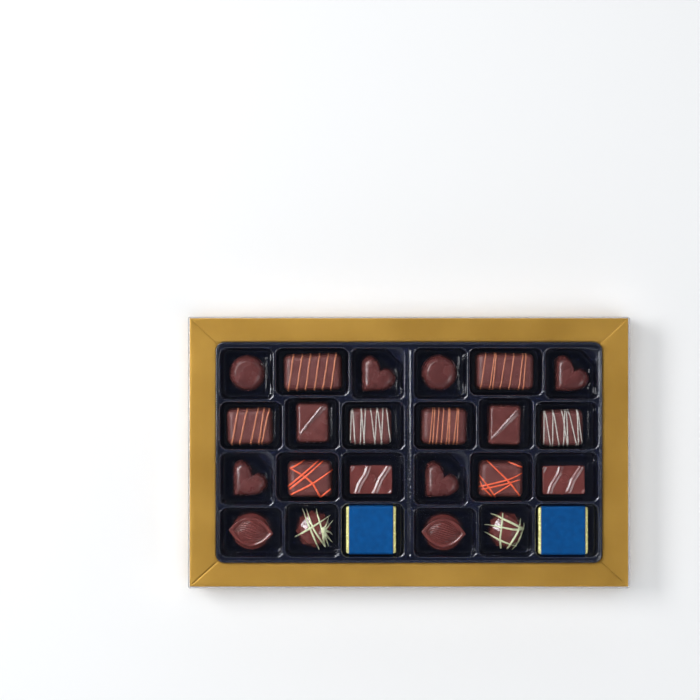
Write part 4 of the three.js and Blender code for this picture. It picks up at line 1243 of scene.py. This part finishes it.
def lid_rings(inset, top, fold):
    """Rings of one skin of the lid from the hem of its skirt to the middle of its top."""
    steps = [(inset, LID_BOTTOM), (inset, 14), (inset, 22), (inset, top - fold)]
    for angle in np.linspace(0, math.pi / 2, 6)[1:]:
        steps.append((inset + fold * (1 - math.cos(angle)), top - fold * (1 - math.sin(angle))))
    steps += [(inset + extra, top) for extra in (2.5, 6, 14, 26, 40, 60, 78)]
    rings = np.array([at_height(rounded_outline(LID_LENGTH - 2 * set_in, LID_WIDTH - 2 * set_in,
                                                max(LID_CORNER - set_in, 0.3), arc=4, along=40,
                                                across=26), height) for set_in, height in steps])
    to_edge = np.minimum(LID_LENGTH / 2 - np.abs(rings[..., 0]), LID_WIDTH / 2 - np.abs(rings[..., 1]))
    sag = (soft_noise(rings[..., :2], SAG_WAVE, SAG_SEED) - 1.2) * SAG
    rings[..., 2] += sag * (rings[..., 2] > top - 0.01) * smooth_step(to_edge, 1, 12)
    return rings


def build_lid():
    """Outer and inner skin, joined at the hem and closed in the middle of the top."""
    outer = lid_rings(0, LID_TOP, OUTER_FOLD)
    inner = lid_rings(LID_SHEET, LID_TOP - LID_SHEET, INNER_FOLD)
    levels, count = outer.shape[:2]
    points = np.vstack([outer.reshape(-1, 3), inner.reshape(-1, 3), outer[-1].mean(0), inner[-1].mean(0)])
    below, last, top = levels * count, (levels - 1) * count, 2 * levels * count
    faces = ring_faces(levels, count)
    faces += [tuple(reversed(face)) for face in ring_faces(levels, count, below)]
    for i in range(count):
        ahead = (i + 1) % count
        faces.append((i, below + i, below + ahead, ahead))
        faces.append((top, last + i, last + ahead))
        faces.append((top + 1, below + last + ahead, below + last + i))
    return dress(make_object("folded_clear_lid", points, faces), CLEAR_FILM, ["clear_lid"])


lid = build_lid()
print("lid faces:", len(lid.data.polygons))

# %% [markdown]
# ## Icing with Geometry Nodes
# Icing is poured or piped across a praline and takes the form of what is under it. A Geometry
# Nodes tree does the same: it casts each route onto the body, leaves out what misses it, varies the
# thickness and sweeps a round section along the line. The route's own data say in which direction
# it is cast, so stripes can wrap down a bar's sides, how thick it is, and how far a free tail of
# icing hangs below the route where there is no praline under it.

# %% Icing tree
CAST_LENGTH, SECTION_POINTS, NOISE_SCALE, BLUNT_END = 0.1, 10, 260, 0.3


def icing_tree():
    """Tree that lays threads of icing on a body."""
    inputs = [("Geometry", "Geometry"), ("Body", "Object"), ("Thread Radius", "Float", 0.0006),
              ("Step", "Float", 0.0004), ("Unevenness", "Float", 0.25), ("Sink", "Float", 0.0002),
              ("Seed", "Float", 0), ("Icing", "Material")]
    tree, given, out = open_tree("Icing Threads", "GeometryNodeTree", inputs, [("Geometry", "Geometry")])

    def named(name, kind="FLOAT"):
        return add_node(tree, "GeometryNodeInputNamedAttribute", {"Name": name},
                        data_type=kind).outputs["Attribute"]

    def calculate(operation, first, second):
        return add_node(tree, "ShaderNodeMath", {0: first, 1: second},
                        operation=operation).outputs["Value"]

    def even_steps(curve):
        return add_node(tree, "GeometryNodeResampleCurve", {"Curve": curve, "Length": given["Step"]},
                        mode="LENGTH").outputs["Curve"]

    # Each point of a route is cast onto the body.
    route = add_node(tree, "GeometryNodeMeshToCurve", {"Mesh": given["Geometry"]}).outputs["Curve"]
    body = add_node(tree, "GeometryNodeObjectInfo", {"Object": given["Body"]}).outputs["Geometry"]
    cast = named("cast", "FLOAT_VECTOR")
    ray = add_node(tree, "GeometryNodeRaycast", {"Target Geometry": body, "Ray Direction": cast,
                                                 "Ray Length": CAST_LENGTH}).outputs
    # What misses the body goes, unless it hangs as a tail.
    tail = calculate("GREATER_THAN", named("hang"), 0)
    missed = add_node(tree, "FunctionNodeBooleanMath", {0: ray["Is Hit"], 1: tail}, operation="NOR")
    trimmed = add_node(tree, "GeometryNodeDeleteGeometry",
                       {"Geometry": even_steps(route), "Selection": missed.outputs["Boolean"]})
    here = add_node(tree, "GeometryNodeInputPosition").outputs["Position"]
    hanging = add_node(tree, "ShaderNodeVectorMath", {0: cast, 1: named("hang"), 2: here},
                       operation="MULTIPLY_ADD")
    landing = add_node(tree, "GeometryNodeSwitch", {
        "Switch": ray["Is Hit"], "False": hanging.outputs["Vector"], "True": ray["Hit Position"]},
        input_type="VECTOR")
    # The thread lies half its radius above the surface, less what it sinks in.
    above = calculate("SUBTRACT", calculate("MULTIPLY", given["Thread Radius"], 0.5), given["Sink"])
    lift = add_node(tree, "ShaderNodeVectorMath", {0: ray["Hit Normal"], "Scale": above},
                    operation="SCALE")
    laid = add_node(tree, "GeometryNodeSetPosition", {
        "Geometry": trimmed.outputs["Geometry"], "Position": landing.outputs["Output"],
        "Offset": lift.outputs["Vector"]})
    # Its radius varies a little, follows the route's thickness and is smaller at both ends.
    noise = add_node(tree, "ShaderNodeTexNoise", {"Scale": NOISE_SCALE, "W": given["Seed"]},
                     noise_dimensions="4D")
    swing = calculate("MULTIPLY", calculate("SUBTRACT", noise.outputs["Fac"], 0.5), 2)
    vary = calculate("ADD", calculate("MULTIPLY", swing, given["Unevenness"]), 1)
    passed = add_node(tree, "GeometryNodeSplineParameter").outputs["Length"]
    whole = add_node(tree, "GeometryNodeSplineLength").outputs["Length"]
    to_end = calculate("MINIMUM", passed, calculate("SUBTRACT", whole, passed))
    blunt = add_node(tree, "ShaderNodeMapRange", {"Value": to_end, "From Max": given["Thread Radius"],
                                                  "To Min": BLUNT_END}).outputs["Result"]
    radius = calculate("MULTIPLY", calculate("MULTIPLY", given["Thread Radius"], vary),
                       calculate("MULTIPLY", blunt, named("thickness")))
    # A circle is swept along the line and gets the icing's own material.
    circle = add_node(tree, "GeometryNodeCurvePrimitiveCircle",
                      {"Resolution": SECTION_POINTS, "Radius": 1}).outputs["Curve"]
    swept = add_node(tree, "GeometryNodeCurveToMesh", {
        "Curve": even_steps(laid.outputs["Geometry"]), "Profile Curve": circle, "Scale": radius,
        "Fill Caps": True})
    smooth = add_node(tree, "GeometryNodeSetShadeSmooth", {"Geometry": swept.outputs["Mesh"]})
    real = add_node(tree, "GeometryNodeRealizeInstances", {"Geometry": smooth.outputs["Geometry"]})
    coloured = add_node(tree, "GeometryNodeSetMaterial", {"Geometry": real.outputs["Geometry"],
                                                          "Material": given["Icing"]})
    connect(tree, out, {"Geometry": coloured.outputs["Geometry"]})
    return tree


ICING_TREE = icing_tree()
ICING_SOCKETS = {item.name: item.identifier for item in ICING_TREE.interface.items_tree
                 if item.in_out == "INPUT"}
print("icing inputs:", list(ICING_SOCKETS))

# %% [markdown]
# ## Laying the icing
# A route is a line on the praline's own plan, in millimetres, with a thickness at each of its
# points. Bars get stripes that are cast towards the bar's axis. The rest is cast straight down,
# so that it lies where a look from above shows it.

# %% Lay threads on one praline
THREAD_STEP, AXIS_HEIGHT, CAST_RADIUS, STRIPE_ANGLE, DROP_HEIGHT = 0.35, 4.5, 24, 86, 30


def lay_icing(cell, threads, material, radius, uneven=0.22, sink=0.15, hang=0.0):
    """Threads are lists of (place, cast direction, thickness) rows on the praline's own plan.
    A hang over 0 keeps what misses the praline, that far down in millimetres, as a free tail."""
    edges, count = [], 0
    for thread in threads:
        edges += [(i, i + 1) for i in range(count, count + len(thread) - 1)]
        count += len(thread)
    places, casts, thickness = (np.array(column, float)
                                for column in zip(*(row for thread in threads for row in thread)))
    turned_only = dict(cell, floor=-SEAT_GAP, praline=(0, 0))
    mesh = bpy.data.meshes.new("icing_" + cell["name"])
    mesh.from_pydata((place_in_cell(places, cell) * MM).tolist(), edges, [])
    for name, kind, field, values in [
            ("cast", "FLOAT_VECTOR", "vector", place_in_cell(casts, turned_only)),
            ("thickness", "FLOAT", "value", thickness),
            ("hang", "FLOAT", "value", np.full(count, hang * MM))]:
        mesh.attributes.new(name, kind, "POINT").data.foreach_set(field, values.astype(np.float32).ravel())
    piece = add_object("icing_" + cell["name"], mesh)
    laid = piece.modifiers.new("icing", "NODES")
    laid.node_group = ICING_TREE
    for name, value in [("Body", bodies[cell["name"]]), ("Thread Radius", radius * MM),
                        ("Step", THREAD_STEP * MM), ("Unevenness", uneven), ("Sink", sink * MM),
                        ("Seed", float(cell["seed"])), ("Icing", material)]:
        laid[ICING_SOCKETS[name]] = value
    bake_modifiers(piece)
    return dress(piece, None, [cell["name"]])


print("icing is laid in steps of", THREAD_STEP, "mm")

# %% [markdown]
# ## Routes
# A stripe wraps down both sides of its bar, so it starts on a circle round the bar's axis and is
# cast towards that axis. Drizzle falls from above, so it is cast straight down from a height.

# %% Stripes and drizzle as routes
def wrapped_thread(front, back, spread=1.0):
    """Stripe round a bar, cast towards the bar's long axis, from x at its front to x at its back."""
    rows = []
    for share in np.linspace(0, 1, 60):
        angle = math.radians(STRIPE_ANGLE * (2 * share - 1)) * spread
        reach = np.clip((BAR_HEIGHT - AXIS_HEIGHT) * math.tan(angle), -BAR_WIDTH / 2, BAR_WIDTH / 2)
        x = front + (back - front) * (reach / BAR_WIDTH + 0.5)
        outwards = np.array([0, math.sin(angle), math.cos(angle)])
        rows.append(((x, 0, AXIS_HEIGHT) + CAST_RADIUS * outwards, -outwards, 1))
    return rows


def dropped_thread(route, thick):
    """Thread on the plan that is cast straight down. The thicknesses are spread along it evenly."""
    path = smooth_path(route, 50)
    shares = np.interp(np.linspace(0, 1, len(path)), np.linspace(0, 1, len(thick)), thick)
    return [((x, y, DROP_HEIGHT), (0, 0, -1), share) for (x, y), share in zip(path, shares)]


print("rows in a stripe:", len(wrapped_thread(0, 1)))

# %% [markdown]
# ## Stripes
# Each pair is where a stripe starts at the bar's front and where it ends at its back. The striped
# and the long bars have caramel stripes. The zigzag bars have finer white ones, whose pairs nearly
# meet at their ends.

# %% Stripes on the bars
STRIPES = {
    "striped": {"left": [(-11.9, -7.2), (-6.6, -1.2), (0.8, 6.2), (6.2, 10.2), (8.2, 13.5)],
                "right": [(-9.6, -7.6), (-7.4, -6.4), (-5, -3.5), (-1.7, -0.4), (1.7, 3.2), (3.5, 3.7),
                          (6.5, 8.8), (8.8, 9.6)]},
    "finger": {"left": [(-16.5, -12.5), (-11, -6.5), (-5, -1), (1, 5), (6.5, 11), (12, 16)],
               "right": [(-16, -13), (-10, -7), (-8, -6), (-3, 0.5), (3, 6), (9.5, 12), (12.5, 14)]},
    "zigzag": {"left": [(-13.2, -12.6), (-10.2, -11.8), (-6.7, -5.9), (-3.9, -6.1), (-4.3, -3.3),
                        (3.2, 0.2), (3, 4.4), (7.8, 4.9), (7.4, 8.5), (13.2, 11)],
               "right": [(-12.6, -12.2), (-8.4, -11.6), (-7, -6.4), (-2.6, -6.2), (0.4, 1.6), (3, -0.4),
                         (3.4, 2.6), (9.2, 4), (10.4, 9.8), (12.8, 10.2)]},
}
CARAMEL_RADIUS = {"left": 0.58, "right": 0.46}
for cell in CELLS:
    pairs = STRIPES.get(cell["kind"], {}).get(cell["side"])
    if cell["kind"] in ("striped", "finger"):
        lay_icing(cell, [wrapped_thread(*pair) for pair in pairs], CARAMEL_ICING,
                  CARAMEL_RADIUS[cell["side"]])
    if cell["kind"] == "zigzag":
        lay_icing(cell, [wrapped_thread(*pair, spread=0.9) for pair in pairs], WHITE_ICING, 0.4,
                  uneven=0.35, sink=0.06)

# %% [markdown]
# ## Drizzle
# Coral icing crosses the drizzled bars, and cream icing crosses the gems and runs out into thin
# tails beyond them. A cream thread comes with its own thicknesses, so that its ends are fine and
# its knot is thick.

# %% Drizzle on the bars and gems
DRIZZLE = {
    "left": [[(-13.2, 7.9), (-4.1, 2.3), (1.8, -2.9), (6.9, -12.1)], [(6.1, 12.3), (-14.5, -4.6)],
             [(9.2, 12), (-3, 1.8), (-13.6, -6.4)], [(15, 5.9), (1.8, -2.9), (-12.8, -10)],
             [(13.8, -6.7), (6.9, -12.1)], [(-3.6, 12.3), (-13, 7.2)]],
    "right": [[(-9.4, 12.2), (4.4, -0.7), (12.9, -10.9)], [(4.7, 11.7), (14, 8.3)],
              [(14, 4.4), (4.7, -0.1), (-14.5, -5.2)], [(12.8, 0), (-0.4, -4), (-13, -7)],
              [(7.2, -2.7), (-4.6, -10.4)], [(-14.4, 2.4), (-9.1, -4.3), (-3.5, -12)],
              [(-14, -1.5), (-11.8, -5.8), (-6.1, -11.5)]],
}
CREAM = {
    "left": [([(-7.6, 14), (-6.2, 11), (3.2, -12), (3.9, -13.6)], (0.15, 0.9, 1, 0.3)),
             ([(-4.9, 13.8), (-3.6, 10.6), (0.4, 0.4), (8.1, -12)], (0.15, 1, 0.9, 0.8)),
             ([(2, 14), (2.6, 10.6), (4.5, 4.4), (6.4, -3)], (0.15, 0.9, 0.8, 0.9)),
             ([(-12.6, -5.4), (-10.6, -4.2), (8.7, 7.6), (11.6, 9.6)], (0.3, 1.15, 0.9, 0.15)),
             ([(6.6, 1.8), (7.2, -3)], (2.3, 2.3)),
             ([(7, 0), (9.2, 4.6), (10.4, 8.2)], (1.1, 0.5, 0.1)),
             ([(7.4, -0.6), (11.2, 3.4), (13.2, 6.2)], (1.1, 0.5, 0.1)),
             ([(7.2, -2), (10.4, -6.2), (13, -9)], (2, 0.9, 0.1)),
             ([(6.8, -2), (6.8, -7), (8.4, -12.4)], (1.6, 1, 0.1)),
             ([(7, -2), (9, -8), (10.6, -12)], (1.6, 0.8, 0.1)),
             ([(7.6, -0.6), (11, -2), (13, -4)], (1.8, 0.8, 0.1))],
    "right": [([(-8.6, 12.5), (-5.3, 10.9), (0, 7.3), (6.4, 3.1), (11.7, -0.8)],
               (0.15, 1, 1.15, 1.2, 1.2)),
              ([(-13.7, 5.7), (-9.7, 4.8), (-2.5, 2.6), (4.9, 0.1), (12.2, -1.2)],
               (0.15, 0.8, 0.9, 1, 1)),
              ([(-14.4, 0.8), (-11.2, -1.2), (-4.8, -5.9), (1.7, -9.7), (6.1, -12.1)],
               (0.15, 0.8, 1, 0.7, 0.15)),
              ([(-0.3, 11.6), (-1.6, 6.9), (-3.9, -1.6), (-4.7, -5.6), (-4.8, -12)],
               (0.6, 1, 0.8, 0.9, 1)),
              ([(11.3, 6.6), (9.9, 2.9), (7.5, -2.1), (1.7, -9.4), (-0.8, -12.7)],
               (0.1, 0.9, 1.1, 1.1, 0.8)),
              ([(12.9, 3.4), (12.5, 0.4), (10.2, -3.6), (6, -10.6), (2.7, -13.4)],
               (0.1, 0.6, 0.8, 0.6, 0.2)),
              ([(11.2, -0.6), (12.4, -1)], (2, 1.9))],
}
CORAL_RADIUS, CORAL_THICKNESS = {"left": 0.58, "right": 0.48}, (0.8, 1.15, 1.1)
CREAM_RADIUS, TAIL_HANG = 0.66, 24.3
for cell in CELLS:
    side = cell["side"]
    if cell["kind"] == "drizzled":
        lay_icing(cell, [dropped_thread(route, CORAL_THICKNESS) for route in DRIZZLE[side]], CORAL_ICING,
                  CORAL_RADIUS[side])
    if cell["kind"] == "gem":
        lay_icing(cell, [dropped_thread(route, thick) for route, thick in CREAM[side]], CREAM_ICING,
                  CREAM_RADIUS, hang=TAIL_HANG)

# %% [markdown]
# ## Floor
# The box lies on a flat white floor that reaches far past the picture on every side. It lies
# a little under the box, so that no faces share a plane.

# %% Floor
FLOOR_REACH, FLOOR_HEIGHT = 4000, -0.05


def build_floor():
    """Flat white square just under the box, set apart from the model as its stage."""
    corners = [(FLOOR_REACH * x, FLOOR_REACH * y, FLOOR_HEIGHT)
               for x, y in ((-1, -1), (1, -1), (1, 1), (-1, 1))]
    floor = make_object("studio_floor", corners, [(0, 1, 2, 3)], smooth=False)
    white = finish("white floor", (244, 244, 244), (243, 243, 243), (0.7, 0.75), mottle=2, grain=40,
                   strength=0, specular=0.2)
    floor.data.materials.append(white)
    return floor


print("floor:", build_floor().name)

# %% [markdown]
# ## Lights
# A long soft light at the left makes the bright flanks and the shadow at the right. A wide weak one
# overhead fills the cells and stays out of the reflections, and a card over the back left corner is
# seen in the reflections only. A small light at the front right gives the far flanks a grey sheen.
# The world is dim overhead and bright near the horizon, as the walls of a white studio are, which
# draws the lips of the cells.

# %% Lights
def area_light(name, place, aim, size, power, glossy=True, diffuse=True):
    """Soft light at a place in metres that faces another place."""
    data = bpy.data.lights.new(name, "AREA")
    data.shape = "RECTANGLE"
    data.size, data.size_y = size
    data.energy = power
    lamp = add_object(name, data)
    lamp.location = place
    lamp.rotation_euler = (Vector(aim) - Vector(place)).to_track_quat("-Z", "Y").to_euler()
    lamp.visible_glossy = glossy
    lamp.visible_diffuse = diffuse
    lamp.visible_transmission = glossy
    lamp.visible_camera = False
    print(name, power, "W")


area_light("key softbox", (-1.05, 0.4, 1.05), (0, 0.4, 0), (0.9, 0.45), 12.5)
area_light("overhead fill", (0.1, 0, 2.4), (0.1, 0, 0), (2.6, 2.6), 36, glossy=False)
area_light("corner card", (-0.75, 1.0, 1.1), (0, 0, 0), (0.6, 0.42), 7.5, diffuse=False)
area_light("front right light", (0.98, -0.55, 0.92), (0, 0, 0), (0.5, 0.36), 1.8)


def studio_world(overhead=0.04, horizon=1.6, dim_from=0.65):
    """World whose strength falls softly from the horizon to the height where it is dim."""
    world = bpy.data.worlds.new("studio")
    bpy.context.scene.world = world
    world.use_nodes = True
    tree = world.node_tree
    place = add_node(tree, "ShaderNodeTexCoord").outputs["Generated"]
    height = add_node(tree, "ShaderNodeSeparateXYZ", {"Vector": place}).outputs["Z"]
    fall = add_node(tree, "ShaderNodeMapRange", {"Value": height, "From Max": dim_from,
                                                 "To Min": horizon, "To Max": overhead},
                    interpolation_type="SMOOTHSTEP")
    connect(tree, tree.nodes["Background"], {"Color": (0.85, 0.92, 1, 1),
                                             "Strength": fall.outputs["Result"]})


studio_world()
bpy.context.scene.view_settings.view_transform = "Standard"

# %% [markdown]
# ## Camera
# The camera looks straight down from so far away that the walls hide behind the lid. An orthographic
# one would show no perspective at all, and the real picture has a trace of it inside the cells. The
# lens follows from the width that the picture shows at the height of the insert.

# %% Camera
CAMERA_DISTANCE, PHOTO_SPAN, SENSOR, CAMERA_PLACE = 1.8, 0.469, 36, (-0.0395, 0.0686)
camera_data = bpy.data.cameras.new("camera")
camera_data.sensor_width = SENSOR
camera_data.lens = SENSOR * CAMERA_DISTANCE / PHOTO_SPAN
camera_data.clip_end = 20
camera = add_object("camera", camera_data)
camera.location = (*CAMERA_PLACE, LAND * MM + CAMERA_DISTANCE)
bpy.context.scene.camera = camera
print("lens in mm:", round(camera_data.lens, 1))
